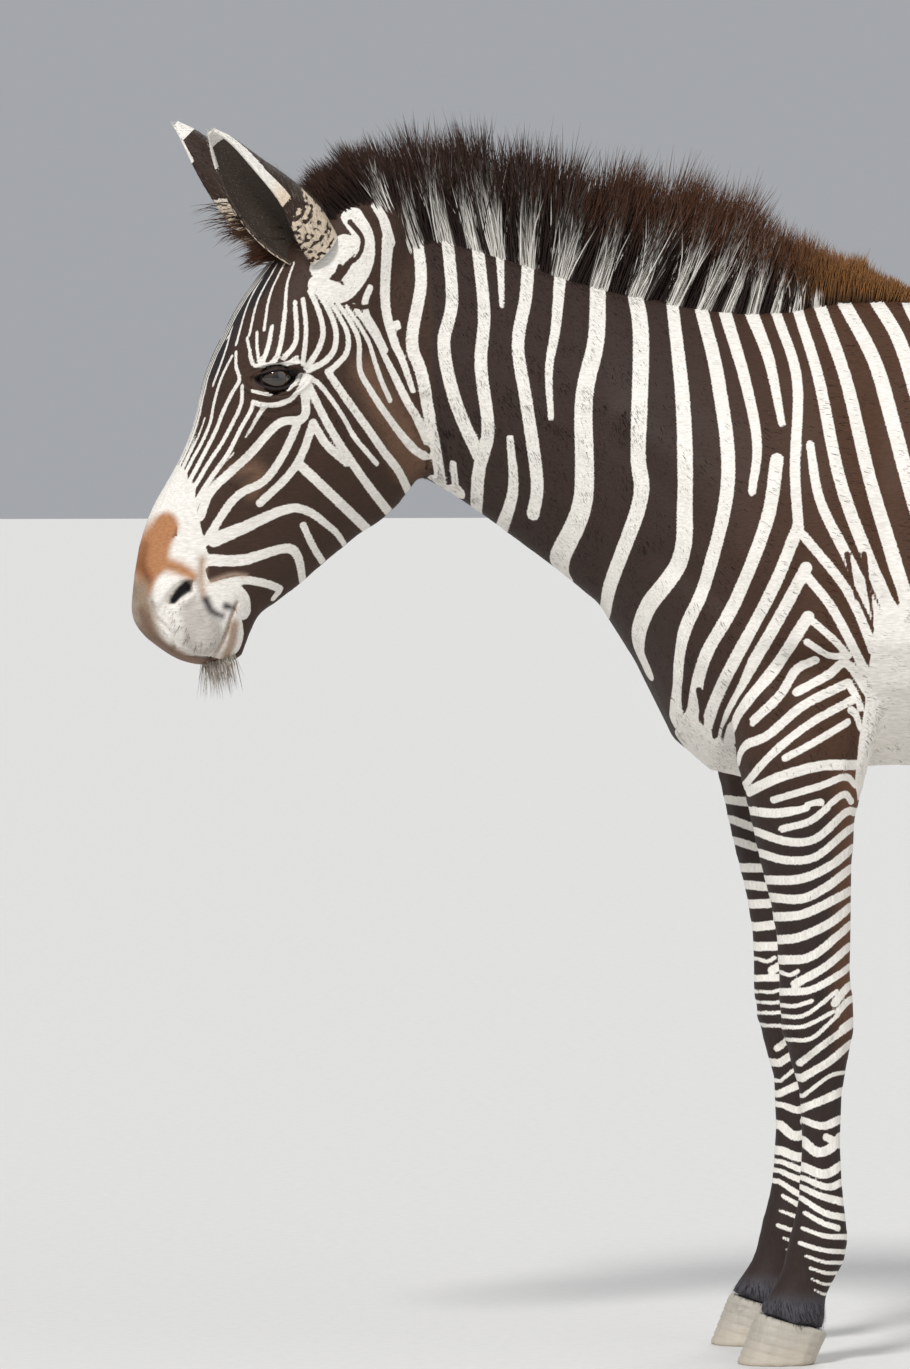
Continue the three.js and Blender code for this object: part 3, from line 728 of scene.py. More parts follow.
def rear_gap(straight):
    """White stripes behind the picture's edge: upright, then arched over the haunch, then leg rings."""
    x, z = straight[:, 0], straight[:, 2]
    lean = FLANK_LEAN * (1 - ramp(x, -0.1, 0.4))
    back = HAUNCH_CENTRE[0] - x
    above = z - HAUNCH_CENTRE[2]
    low = np.minimum(above, 0)
    arch = np.clip((1.2 - back) / 1.0, 0, 1)
    radius = np.hypot(back, np.maximum(above, 0) * arch * 1.12)
    on_leg = ramp(x, 0.50, 0.66)
    closer = 1 + RINGS_CLOSER * on_leg * ramp(low, 0.0, -0.25)
    rings = low + RINGS_CLOSER * np.minimum(low + RINGS_CLOSEST_BELOW, 0)
    radius = radius * (1 - 0.85 * on_leg * ramp(low, 0.0, -0.5)) + rings * on_leg
    radius = radius - 0.28 * np.maximum(HAUNCH_REACH - radius, 0)
    place = HAUNCH_CENTRE[0] - radius - lean * (BACK_HEIGHT - z)
    flat = straight * np.array([1, 0, 1])
    for amount, size, seed in (WANDER_WIDE, WANDER_FINE):
        place = place + amount * wander(flat, size, seed)
    count = (place - LAST_STRIPE) / STRIPE_PITCH
    middle = np.abs(count - np.round(count)) * STRIPE_PITCH
    half = HALF_STRIPE + HALF_STRIPE_WANDER * wander(straight, 0.15, 5)
    return np.where(count > 0.5, (middle - half) / closer, STRIPE_REACH)


def nose_gap(straight, gap):
    """The gap with fine lengthwise stripes down the face's middle, and white at the muzzle's middle."""
    side = np.abs(straight[:, 1])
    along, out = head_place(straight)
    front = in_head(straight) & (out > 0.03)
    band = ramp(side, NOSE_BAND + 0.004, NOSE_BAND - 0.004) * ramp(along, -0.02, 0.04) * front
    count = side / NOSE_PITCH
    half = NOSE_LINE + 0.0015 * ramp(along, 0.2, 0.36)
    lines = np.abs(count - np.round(count)) * NOSE_PITCH - half
    lines = np.where(along > NOSE_END, -STRIPE_REACH, lines)
    return gap + (lines - gap) * band


def elbow_gap(straight):
    """The white behind each elbow, where the belly's white runs onto the leg."""
    x, z = straight[:, 0], straight[:, 2]
    front = np.interp(z, ELBOW_HEIGHTS, ELBOW_EDGE)
    here = (z > ELBOW_HEIGHTS[0]) & (z < ELBOW_HEIGHTS[-1]) & (x < 0)
    return np.where(here, front - x, STRIPE_REACH)


def back_gap(straight):
    """The white line each side of the back's dark stripe, and the dark stripe as a positive gap."""
    side = np.abs(straight[:, 1])
    top = (straight[:, 2] > 1.2) & (straight[:, 0] > PICTURE_EDGE)
    rump = ramp(straight[:, 0], 0.55, 0.85)
    dark_half = DARK_BACK[0] + DARK_BACK[1] * rump
    fade = 0.03 * ramp(straight[:, 2], 1.30, 1.21)
    ribbon = np.abs(side - dark_half - RIBBON_WIDTH) - 0.011 * rump
    margin = np.where(top, ribbon + fade, STRIPE_REACH)
    dark = np.where(top, dark_half - side - fade, -STRIPE_REACH)
    return margin, dark


# ---- tints: (colour, what it colours, softness, first width, last width, then points in pixels) ----
PALE_HAIR = (250, 246, 238)
NECK_DARK = (60, 46, 40)
FLANK_DARK = (80, 54, 38)
LEG_DARK = (54, 43, 39)
HEAD_DARK = (68, 50, 40)
# Painted shade: the forehead's dark hair made darker and bluish grey where the ear shades it.
FOREHEAD_SHADED_DARK = (38, 35, 37)
WARM_DARK = (114, 86, 68)
RUSSET = (128, 86, 58)
NOSE_BROWN = (186, 130, 88)
# The nose patch's own brown, made deeper by painted shade along its front edge.
SHADED_NOSE_BROWN = (128, 78, 46)
NOSE_SOFT = (196, 168, 146)
MUZZLE_GREY = (206, 200, 192)
# The muzzle's own beige, darkened by painted shade on its front between the nostrils.
SHADED_MUZZLE_BEIGE = (158, 138, 118)
# The lips' own grey-brown, darkened by painted shade on the muzzle's front.
SHADED_LIP_GREY = (134, 108, 90)
LIP_BROWN = (186, 160, 140)
DARK_SKIN = (38, 34, 36)
PASTERN_GREY = (84, 84, 92)
PASTERN_DUST = (150, 148, 150)
LEG_COLOUR_TOP = 0.82
TINTS = (
    (WARM_DARK, "dark", 0.02, 30, 44, (366, 372), (392, 420), (412, 462)),
    (WARM_DARK, "dark", 0.012, 10, 16, (228, 470), (258, 470), (252, 490)),
    # Painted shade on the forehead's dark hair, below the ears.
    (FOREHEAD_SHADED_DARK, "dark", 0.02, 60, 40, (262, 262), (238, 310), (205, 370)),
    (NOSE_BROWN, "both", 0.006, 28, 34, (165, 526), (157, 542), (151, 562)),
    (NOSE_BROWN, "both", 0.007, 26, 20, (150, 556), (147, 574), (144, 588)),
    # Painted shade along the nose patch's front edge, over its brown.
    (SHADED_NOSE_BROWN, "both", 0.009, 4, 10, (146, 545), (143, 565), (148, 580)),
    (NOSE_BROWN, "both", 0.008, 14, 12, (160, 562), (178, 568), (192, 576)),
    (NOSE_SOFT, "both", 0.007, 7, 7, (202, 560), (201, 582), (203, 600)),
    (NOSE_SOFT, "both", 0.005, 2.5, 2.5, (210, 582), (231, 575), (246, 576)),
    (MUZZLE_GREY, "both", 0.008, 30, 44, (196, 612), (205, 638)),
    # Painted shade on the front of the muzzle, over its own beige.
    (SHADED_MUZZLE_BEIGE, "both", 0.012, 24, 28, (140, 592), (152, 640), (175, 655)),
    # Painted shade on the front lip, over its own grey-brown.
    (SHADED_LIP_GREY, "both", 0.008, 12, 18, (142, 612), (154, 636), (178, 655), (200, 662)),
    (DARK_SKIN, "both", 0.006, 8, 5, (206, 600), (212, 611), (222, 616)),
    (LIP_BROWN, "both", 0.006, 12, 12, (234, 626), (232, 642), (226, 656)),
    (DARK_SKIN, "both", 0.005, 7, 3, (226, 606), (234, 608)),
    (LIP_BROWN, "both", 0.006, 4, 3, (235, 604), (230, 622), (224, 640), (214, 656)),
    (DARK_SKIN, "both", 0.003, 8, 13, (173, 600), (180, 591), (187, 585)),
)


def blend(colours, target, share):
    """Colours moved towards one target colour by a share at each vertex."""
    return colours + (linear(*target) - colours) * share[:, None]


class Markings:
    """The animal's markings, cast once onto its skin and then known at any straight place."""

    WHITES = (
        NECK_STRIPES, SHOULDER_STRIPES, FORELEG_STRIPES, FACE_STRIPES, CHEEK_STRIPES, BRIDGE_STRIPES,
        FOREHEAD_STRIPES, EYE_STRIPES, WHITE_PATCHES,
    )

    def __init__(self, tree):
        self.whites = [cast_stroke(tree, stroke) for group in self.WHITES for stroke in group]
        self.darks = [cast_stroke(tree, stroke) for stroke in DARK_LINES]
        self.tints = [
            (colour, target, softness, cast_stroke(tree, (first, last, *points)))
            for colour, target, softness, first, last, *points in TINTS
        ]

    def gap(self, straight):
        """Distance from the nearest white marking's edge, below zero inside a marking."""
        flat = folded(straight)
        gap = stroke_gap(flat, self.whites, STRIPE_REACH)
        gap = np.maximum(gap, -stroke_gap(flat, self.darks, STRIPE_REACH))
        gap = nose_gap(straight, gap)
        gap = np.minimum(gap, elbow_gap(straight))
        gap = np.minimum(gap, rear_gap(straight))
        margin, dark = back_gap(straight)
        gap = np.maximum(np.minimum(gap, margin), dark)
        x, side, z = straight[:, 0], np.abs(straight[:, 1]), straight[:, 2]
        trunk = ramp(x, -0.13, -0.06) * (1 - ramp(x, 0.60, 0.74))
        belly = ramp(z, BELLY_TOP, BELLY_TOP - 0.11) * trunk
        inner_thigh = ramp(side, 0.1, 0.06) * ramp(z, 1.02, 0.9) * ramp(z, 0.66, 0.76)
        inner_thigh = inner_thigh * ramp(x, -0.4, -0.3)
        return gap - STRIPE_REACH * 1.3 * np.maximum(belly, inner_thigh)

    def colours(self, straight):
        """The dark and the pale hair's colour, with painted shade on the forehead, the nose patch's
        front edge and the muzzle's front.
        """
        x, z = straight[:, 0], straight[:, 2]
        leg = z < LEG_COLOUR_TOP
        fore_russet = ramp(x, -0.185, -0.145) * ramp(z, 0.38, 0.5) * ((x < 0.1) & leg)
        hind_russet = ((x > 0.6) & leg) * ramp(z, 0.4, 0.6)
        dark = np.tile(linear(*NECK_DARK), (len(straight), 1))
        for colour, share in (
            (FLANK_DARK, ramp(x, -0.42, -0.12)),
            (LEG_DARK, ramp(z, 0.86, 0.7)),
            (HEAD_DARK, in_head(straight).astype(float)),
            (RUSSET, 0.55 * fore_russet),
            (RUSSET, 0.3 * hind_russet),
            (PASTERN_GREY, 0.7 * ramp(z, 0.105, 0.075)),
        ):
            dark = blend(dark, colour, share)
        pale = np.tile(linear(*PALE_HAIR), (len(straight), 1))
        pale = blend(pale, PASTERN_DUST, ramp(z, 0.095, 0.075))
        beside = straight.copy()
        clear = np.maximum(np.abs(straight[:, 1]), NOSE_BAND)
        beside[:, 1] = np.where(in_head(straight), clear, straight[:, 1])
        flat = folded(beside)
        for colour, target, softness, stroke in self.tints:
            share = 1 - ramp(stroke_gap(flat, [stroke], STRIPE_REACH), -softness, softness)
            if target == "both":
                pale = blend(pale, colour, share)
            dark = blend(dark, colour, share)
        return dark, pale


def store(mesh, name, values):
    """Keeps a number or a colour at each vertex, for the materials."""
    values = np.asarray(values, dtype=np.float32)
    if values.ndim == 1:
        layer = mesh.attributes.new(name, "FLOAT", "POINT")
        layer.data.foreach_set("value", values)
        return
    layer = mesh.attributes.new(name, "FLOAT_COLOR", "POINT")
    opaque = np.column_stack([values, np.ones(len(values), dtype=np.float32)])
    layer.data.foreach_set("color", opaque.ravel())


# ---- materials: tones are (red, green, blue, 1) in light ----
HAIR_SHADE = (0.78, 0.76, 0.74, 1)
STRAND_SHADE = (0.72, 0.70, 0.68, 1)
UNSHADED = (1.0, 1.0, 1.0, 1)
HAIR_SHINE = 0.22
FLOOR_TONES = ((0.62, 0.61, 0.59, 1), (0.7, 0.69, 0.67, 1))
EYE_STREAK = (0.012, 0.008, 0.006, 1)
HORN_TONES = ((0.34, 0.30, 0.25, 1), (0.47, 0.43, 0.36, 1))
HORN_BLOTCH = (0.25, 0.22, 0.19, 1)
HORN_BAND = (0.56, 0.52, 0.45, 1)
HORN_DUST = (0.50, 0.44, 0.36, 1)


class Nodes:
    """Short calls for building one material's node tree."""

    def __init__(self, name):
        self.material = bpy.data.materials.new(name)
        self.material.use_nodes = True
        self.tree = self.material.node_tree
        self.shader = self.tree.nodes["Principled BSDF"]

    def feed(self, node, key, value):
        """Links or sets one input, named or numbered by its key."""
        socket = node.inputs[int(key) if key.isdigit() else key]
        if isinstance(value, bpy.types.NodeSocket):
            self.tree.links.new(value, socket)
        else:
            socket.default_value = value

    def math(self, operation, first, second=0.0):
        node = self.tree.nodes.new("ShaderNodeMath")
        node.operation = operation
        self.feed(node, "0", first)
        self.feed(node, "1", second)
        return node.outputs[0]

    def mix(self, share, first, second, blend="MIX"):
        node = self.tree.nodes.new("ShaderNodeMix")
        node.data_type = "RGBA"
        node.blend_type = blend
        self.feed(node, "0", share)
        self.feed(node, "6", first)
        self.feed(node, "7", second)
        return node.outputs[2]

    def attribute(self, name):
        node = self.tree.nodes.new("ShaderNodeAttribute")
        node.attribute_name = name
        return node

    def between(self, value, low, high):
        """0 below low and 1 above high."""
        node = self.tree.nodes.new("ShaderNodeMapRange")
        node.interpolation_type = "SMOOTHSTEP"
        self.feed(node, "Value", value)
        self.feed(node, "From Min", low)
        self.feed(node, "From Max", high)
        return node.outputs["Result"]

    def noise(self, scale, stretch=(1, 1, 1), detail=3.0):
        place = self.tree.nodes.new("ShaderNodeTexCoord")
        mapping = self.tree.nodes.new("ShaderNodeMapping")
        self.feed(mapping, "Vector", place.outputs["Object"])
        self.feed(mapping, "Scale", stretch)
        node = self.tree.nodes.new("ShaderNodeTexNoise")
        self.feed(node, "Vector", mapping.outputs["Vector"])
        self.feed(node, "Scale", scale)
        self.feed(node, "Detail", detail)
        return node.outputs["Fac"]

    def surface(self, colour, roughness, **others):
        """The shader's colour and roughness, and its other inputs by name."""
        self.feed(self.shader, "Base Color", colour)
        self.feed(self.shader, "Roughness", roughness)
        for key, value in others.items():
            self.feed(self.shader, key.replace("_", " "), value)

    def bump(self, height, strength, distance):
        node = self.tree.nodes.new("ShaderNodeBump")
        for key, value in (("Height", height), ("Strength", strength), ("Distance", distance)):
            self.feed(node, key, value)
        self.feed(self.shader, "Normal", node.outputs["Normal"])


def coat_material():
    """Short flat hair: dark and pale colours kept at the vertices, parted along ragged stripe edges."""
    nodes = Nodes("striped_coat")
    along_body = nodes.noise(1.0, (90, 420, 420))
    along_leg = nodes.noise(1.0, (420, 420, 90))
    leg = nodes.attribute("upright").outputs["Fac"]
    turned = nodes.math("MULTIPLY", leg, nodes.math("SUBTRACT", along_leg, along_body))
    hair = nodes.math("ADD", along_body, turned)
    ragged = nodes.math("MULTIPLY", nodes.math("SUBTRACT", hair, 0.5), 0.0035)
    edge = nodes.math("ADD", nodes.attribute("stripe").outputs["Fac"], ragged)
    darkness = nodes.between(edge, -0.0007, 0.0009)
    pale, dark = (nodes.attribute(name).outputs["Color"] for name in ("pale", "dark"))
    colour = nodes.mix(darkness, pale, dark)
    grey = nodes.mix(nodes.between(hair, 0.25, 0.8), HAIR_SHADE, UNSHADED)
    colour = nodes.mix(1.0, colour, grey, "MULTIPLY")
    nodes.surface(colour, 0.62, Specular_IOR_Level=HAIR_SHINE)
    nodes.bump(hair, 0.5, 0.0012)
    return nodes.material


# ---- camera, floor and light ----
FLOOR_HALF = 40.0
SKY_COLOUR = (0.88, 0.91, 0.96, 1)
SKY_STRENGTH = 0.42
# Each lamp: name, where its light comes from, strength, and how many degrees wide it is.
LAMPS = (
    ("key", (-0.45, -0.75, 0.85), 2.3, 12),
    ("fill", (0.8, -0.6, 0.35), 0.5, 60),
    ("rim", (0.35, 0.8, 0.7), 0.9, 30),
)


def build_camera():
    data = bpy.data.cameras.new("camera")
    data.sensor_fit = "VERTICAL"
    data.sensor_height = SENSOR
    data.lens = SENSOR * CAMERA_DISTANCE / PIXEL / IMAGE_SIZE[1]
    data.clip_end = 100
    camera = put_in_scene("camera", data)
    turn = Matrix((RIGHT, UP, -FORWARD)).transposed().to_4x4()
    camera.matrix_world = Matrix.Translation(CAMERA_PLACE) @ turn
    bpy.context.scene.camera = camera
    bpy.context.scene.view_settings.view_transform = "Standard"


def floor_material():
    nodes = Nodes("pale_floor")
    nodes.surface(nodes.mix(nodes.noise(60.0), *FLOOR_TONES), 0.8)
    return nodes.material


def build_floor():
    corners = [(x * FLOOR_HALF, y * FLOOR_HALF, 0) for x, y in ((-1, -1), (1, -1), (1, 1), (-1, 1))]
    mesh = bpy.data.meshes.new("floor")
    mesh.from_pydata(corners, [], [(0, 1, 2, 3)])
    mesh.materials.append(floor_material())
    put_in_scene("floor", mesh)


def build_light():
    world = bpy.data.worlds.new("studio")
    bpy.context.scene.world = world
    world.use_nodes = True
    background = world.node_tree.nodes["Background"]
    background.inputs["Color"].default_value = SKY_COLOUR
    background.inputs["Strength"].default_value = SKY_STRENGTH
    for name, away, strength, spread in LAMPS:
        data = bpy.data.lights.new(name, "SUN")
        data.energy = strength
        data.angle = math.radians(spread)
        lamp = put_in_scene(name, data)
        lamp.rotation_mode = "QUATERNION"
        lamp.rotation_quaternion = Vector(away).to_track_quat("Z", "Y")


# ---- folds cut or raised along strokes: (height, softness, first width, last width, then points) ----
FOLDS = (
    (-0.017, 0.004, 9, 12, (172, 600), (180, 592), (187, 587)),
    (0.005, 0.008, 5, 5, (158, 602), (166, 590), (176, 582), (190, 580)),
    (0.003, 0.006, 4, 4, (184, 602), (192, 594)),
    (-0.003, 0.004, 2, 2, (152, 603), (155, 617), (166, 628), (172, 636), (174, 648)),
    (-0.006, 0.003, 2, 2, (237, 603), (230, 622), (224, 640), (214, 656), (204, 664)),
    (0.003, 0.010, 10, 10, (206, 610), (210, 630), (204, 648)),
    (-0.0025, 0.006, 3, 3, (205, 560), (203, 582), (206, 600)),
    (0.004, 0.012, 5, 3, (262, 404), (244, 432), (226, 462)),
    (-0.003, 0.010, 6, 6, (276, 420), (258, 448), (238, 476)),
    (-0.004, 0.012, 8, 8, (330, 390), (345, 410), (352, 430)),
    (0.004, 0.012, 8, 8, (258, 362), (280, 358), (300, 360)),
    (-0.002, 0.006, 3, 3, (256, 410), (275, 412), (296, 406)),
)
NECK_FOLDS = (
    (-0.006, 0.012, 4, 4, (424, 400), (427, 440), (428, 472)),
    (-0.003, 0.012, 4, 4, (448, 440), (452, 470), (462, 492)),
    (0.006, 0.030, 30, 30, (640, 420), (700, 480), (760, 560), (806, 640)),
    (-0.006, 0.030, 10, 10, (660, 560), (720, 600), (760, 650)),
    (-0.005, 0.028, 10, 16, (806, 560), (800, 640), (790, 720)),
    (0.006, 0.030, 24, 24, (760, 650), (770, 720), (775, 780)),
    (-0.004, 0.020, 8, 8, (850, 690), (858, 740), (858, 780)),
    (0.005, 0.040, 24, 24, (820, 380), (835, 480), (850, 560)),
    (-0.004, 0.030, 8, 8, (880, 400), (885, 520), (892, 600)),
    (-0.003, 0.010, 6, 6, (822, 1000), (838, 1030), (832, 1050)),
    (0.004, 0.010, 12, 12, (792, 1030), (806, 1048)),
    (-0.003, 0.008, 5, 5, (826, 1080), (830, 1150), (834, 1200)),
    (0.003, 0.008, 6, 6, (846, 1100), (846, 1160), (850, 1215)),
)


def make_tree(points, mesh):
    return BVHTree.FromPolygons(
        [Vector(p) for p in points], [tuple(face.vertices) for face in mesh.polygons])


def sculpt(mesh, body_count):
    """Adds the folds and muscles that the voxel skin is too smooth to have, the same on both sides."""
    bent = positions(mesh)
    outward = normals(mesh)
    flat = folded(straighten(bent))
    tree = make_tree(bent, mesh)
    rise = np.zeros(len(bent))
    for height, softness, first, last, *points in FOLDS + NECK_FOLDS:
        stroke = cast_stroke(tree, (first, last, *points))
        gap = stroke_gap(flat, [stroke], softness * 2)
        rise += height * (1 - ramp(gap, -softness * 0.4, softness))
    rise[body_count:] = 0
    set_positions(mesh, bent + outward * rise[:, None])


# ---- the eyes and their lids ----
EYE_LONG = unit(0.46 * ALONG + 0.89 * OUT)
EYE_LIFT = unit(-0.89 * ALONG + 0.46 * OUT)
OPEN_HALF_LENGTH = 0.0242
OPEN_ABOVE = 0.0098
OPEN_BELOW = 0.0128
EYE_SIDES = {-1: "left_eye", 1: "right_eye"}
LID_POINTS = 96
LID_SCALES = np.concatenate([np.linspace(1.0, 1.3, 7), np.linspace(1.4, 2.6, 13)])
EYE_RINGS = 40
EYE_POINTS = 64
EYE_BLACK = (8, 6, 6)
IRIS_BROWN = (64, 42, 26)
IRIS_EDGE = (20, 14, 12)
EYE_WHITE = (96, 78, 66)


def eye_place(side):
    """The eye's middle on the straight head, and its radius, from its CAD node."""
    low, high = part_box(EYE_SIDES[side])
    middle = (np.array(low) + np.array(high)) / 2
    return straighten(middle[None, :])[0], (high.z - low.z) / 2


def open_edge(turns, scale):
    """An almond this many times the eye's opening: lengths along it and lifts above its middle."""
    length = OPEN_HALF_LENGTH * scale * np.cos(turns)
    rise = np.sin(turns)
    lift = np.where(rise > 0, OPEN_ABOVE * np.abs(rise) ** 0.7, OPEN_BELOW * rise)
    lift = lift * (scale ** 1.15) * (1 - 0.18 * np.cos(turns) ** 2)
    return length, lift


def side_of_head(side):
    return np.array([0.0, float(side), 0.0])


def face_depth(tree, places, outward, middle):
    """How far out from the eye's middle the face lies at each of these places."""
    depths = []
    for place in places:
        hit = tree.ray_cast(Vector(place + outward * 0.1), Vector(-outward))[0]
        depths.append(0.012 if hit is None else (np.array(hit) - middle) @ outward)
    return np.array(depths)


def lid_height(scale, ball, face):
    """The lid's height round one ring: over the eyeball, then a fold, then down under the face."""
    roll = ball + 0.0006 + 0.0024 * ramp(scale, 1.0, 1.16)
    above = face + 0.0022 * (1 - ramp(scale, 1.7, 2.4)) - 0.0035 * ramp(scale, 2.2, 2.6)
    fold = 0.0014 * np.sin(scale * 17) * ramp(scale, 1.15, 1.3) * (1 - ramp(scale, 1.8, 2.3))
    share = ramp(scale, 1.1, 1.75)
    return roll * (1 - share) + above * share + fold


def build_lids(side, straight_tree, markings):
    """A ring of skin that rolls over the eyeball's edge and dives under the face round it."""
    middle, radius = eye_place(side)
    outward = side_of_head(side)
    turns = np.linspace(0, 2 * math.pi, LID_POINTS, endpoint=False)
    edge_length, edge_lift = open_edge(turns, 1.0)
    ball = np.sqrt(np.maximum(radius ** 2 - edge_length ** 2 - edge_lift ** 2, 0.0))
    rows, painted = [], []
    for scale in LID_SCALES:
        length, lift = open_edge(turns, scale)
        flat = middle + length[:, None] * EYE_LONG + lift[:, None] * EYE_LIFT
        face = face_depth(straight_tree, flat, outward, middle)
        rows.append(flat + lid_height(scale, ball, face)[:, None] * outward)
        painted.append(flat + face[:, None] * outward)
    spots, painted = np.vstack(rows), np.vstack(painted)
    name = EYE_SIDES[side].replace("eye", "lids")
    lids = new_piece(name, bend(spots), ring_faces(len(LID_SCALES), LID_POINTS, side > 0))
    dark, pale = markings.colours(painted)
    rim = 1 - ramp(np.repeat(LID_SCALES, LID_POINTS), 1.12, 1.26)
    store(lids.data, "stripe", np.maximum(markings.gap(painted), 0.004 * rim - 0.03 * (1 - rim)))
    store(lids.data, "dark", blend(dark, DARK_SKIN, rim))
    store(lids.data, "pale", pale)
    store(lids.data, "upright", np.zeros(len(spots)))
    return lids


def open_socket(straight, side):
    """Sinks the skin behind the eyeball's front inside the lids' ring."""
    middle, _ = eye_place(side)
    outward = side_of_head(side)
    away = straight - middle
    length, lift, depth = away @ EYE_LONG, away @ EYE_LIFT, away @ outward
    tall = np.where(lift > 0, OPEN_ABOVE, OPEN_BELOW)
    size = np.sqrt((length / OPEN_HALF_LENGTH) ** 2 + (lift / tall) ** 2)
    inside = (size < 1.75) & (depth > -0.02)
    wanted = np.where(size < 1.35, 0.0, depth - 0.006)
    sink = np.where(inside, np.maximum(depth - wanted, 0), 0)
    return straight - sink[:, None] * outward


def eye_material():
    """A wet dark eyeball: brown iris round a wide level pupil."""
    nodes = Nodes("wet_eye")
    tone = nodes.attribute("tone").outputs["Color"]
    streak = nodes.noise(300.0, detail=4.0)
    colour = nodes.mix(streak, tone, EYE_STREAK)
    nodes.surface(colour, 0.06, Coat_Weight=1.0, Coat_Roughness=0.02)
    nodes.bump(streak, 0.03, 0.0004)
    return nodes.material


def build_eye(side, material):
    """An eyeball with a raised cornea, a level pupil, an iris and a little of the white."""
    middle, radius = eye_place(side)
    down = np.linspace(0, math.pi, EYE_RINGS)[:, None]
    turn = np.linspace(0, 2 * math.pi, EYE_POINTS, endpoint=False)[None, :]
    cornea = 1 + 0.05 * (1 - ramp(down, 0.35, 0.8))
    reach = radius * 0.985 * cornea / 1.05
    across, lift = np.sin(down) * np.cos(turn), np.sin(down) * np.sin(turn)
    facing = np.cos(down) * np.ones_like(turn)
    ways = across[..., None] * EYE_LONG + lift[..., None] * EYE_LIFT
    ways = ways + facing[..., None] * side_of_head(side)
    spots = middle + (reach[..., None] * ways).reshape(-1, 3)
    name = EYE_SIDES[side].replace("eye", "eyeball")
    eye = new_piece(name, bend(spots), ring_faces(EYE_RINGS, EYE_POINTS, side < 0))
    pupil = np.hypot(across / 0.40, lift / 0.20).ravel()
    iris = np.hypot(across, lift).ravel()
    tone = np.tile(linear(*EYE_BLACK), (len(spots), 1))
    tone = blend(tone, IRIS_BROWN, ramp(pupil, 0.85, 1.15))
    tone = blend(tone, IRIS_EDGE, ramp(iris, 0.62, 0.72))
    tone = blend(tone, EYE_WHITE, ramp(iris, 0.80, 0.92))
    store(eye.data, "tone", tone)
    eye.data.materials.append(material)
    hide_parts(EYE_SIDES[side])
    return eye


# ---- hooves ----
HOOF_SQUARE = 0.0028
HOOF_ROUNDS = 14
RING_PITCH = 0.0062
WIDE_RING_PITCH = 0.013
CORONET_SLOPE = 0.24


def hoof_material():
    """Grey-beige horn with growth rings, worn pale and dusty at the ground."""
    nodes = Nodes("hoof_horn")
    place = nodes.tree.nodes.new("ShaderNodeTexCoord").outputs["Object"]
    height = nodes.tree.nodes.new("ShaderNodeSeparateXYZ")
    nodes.tree.links.new(place, height.inputs[0])
    ground = nodes.between(height.outputs[2], 0.0, 0.05)
    streak = nodes.noise(1.0, (260, 260, 26))
    blotch = nodes.noise(34.0, detail=5.0)
    bands = nodes.noise(1.0, (14, 14, 420))
    base = nodes.mix(streak, *HORN_TONES)
    base = nodes.mix(nodes.between(blotch, 0.5, 0.85), base, HORN_BLOTCH)
    base = nodes.mix(nodes.math("MULTIPLY", bands, 0.4), base, HORN_BAND)
    dusty = nodes.mix(ground, HORN_DUST, base)
    nodes.surface(dusty, 0.55)
    nodes.bump(nodes.math("ADD", bands, nodes.math("MULTIPLY", streak, 0.4)), 0.3, 0.001)
    return nodes.material


def build_hoof(node, material):
    """A hoof made smooth from its solid, with growth rings that follow its top."""
    mesh = solid_copy(node + "_wall", [node], HOOF_SQUARE, 0.0)
    ground = positions(mesh)[:, 2] < 0.001
    points = relax(positions(mesh), edge_ends(mesh), HOOF_ROUNDS)
    set_positions(mesh, points)
    outward = normals(mesh)
    outward[:, 2] *= 0.2
    low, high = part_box(node)
    level = 2 * math.pi * (points[:, 2] + CORONET_SLOPE * (points[:, 0] - (low.x + high.x) / 2))
    wall = ramp(points[:, 2], 0.004, 0.012) * (np.abs(outward[:, 2]) < 0.15)
    rings = 0.0005 * np.sin(level / RING_PITCH) + 0.0004 * np.sin(level / WIDE_RING_PITCH)
    points = points + outward * ((rings - 0.0008) * wall)[:, None]
    points[ground, 2] = np.clip(points[ground, 2], 0.0, 0.002)
    points[:, 2] = np.maximum(points[:, 2], 0.0)
    set_positions(mesh, points)
    mesh.materials.clear()
    mesh.materials.append(material)
    hoof = adopt(node + "_wall", mesh)
    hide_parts(node)


# ---- hair ----
PATCH = 0.0015
DOWN = np.array([0.0, 0.0, -1.0])
SIDEWAYS = np.array([0.0, 1.0, 0.0])
FORE_AND_AFT = np.array([1.0, 0.0, 0.0])


def unrolled(straight, foot, axis, front):
    """Places on a cylinder about an axis, unrolled: how far round it, and how far along."""
    from_foot = straight - foot
    around = np.arctan2(from_foot @ np.cross(axis, front), from_foot @ front) / (2 * math.pi) + 0.5
    along = from_foot @ axis
    along = (along - along.min()) / (along.max() - along.min())
    return np.column_stack([around, along])


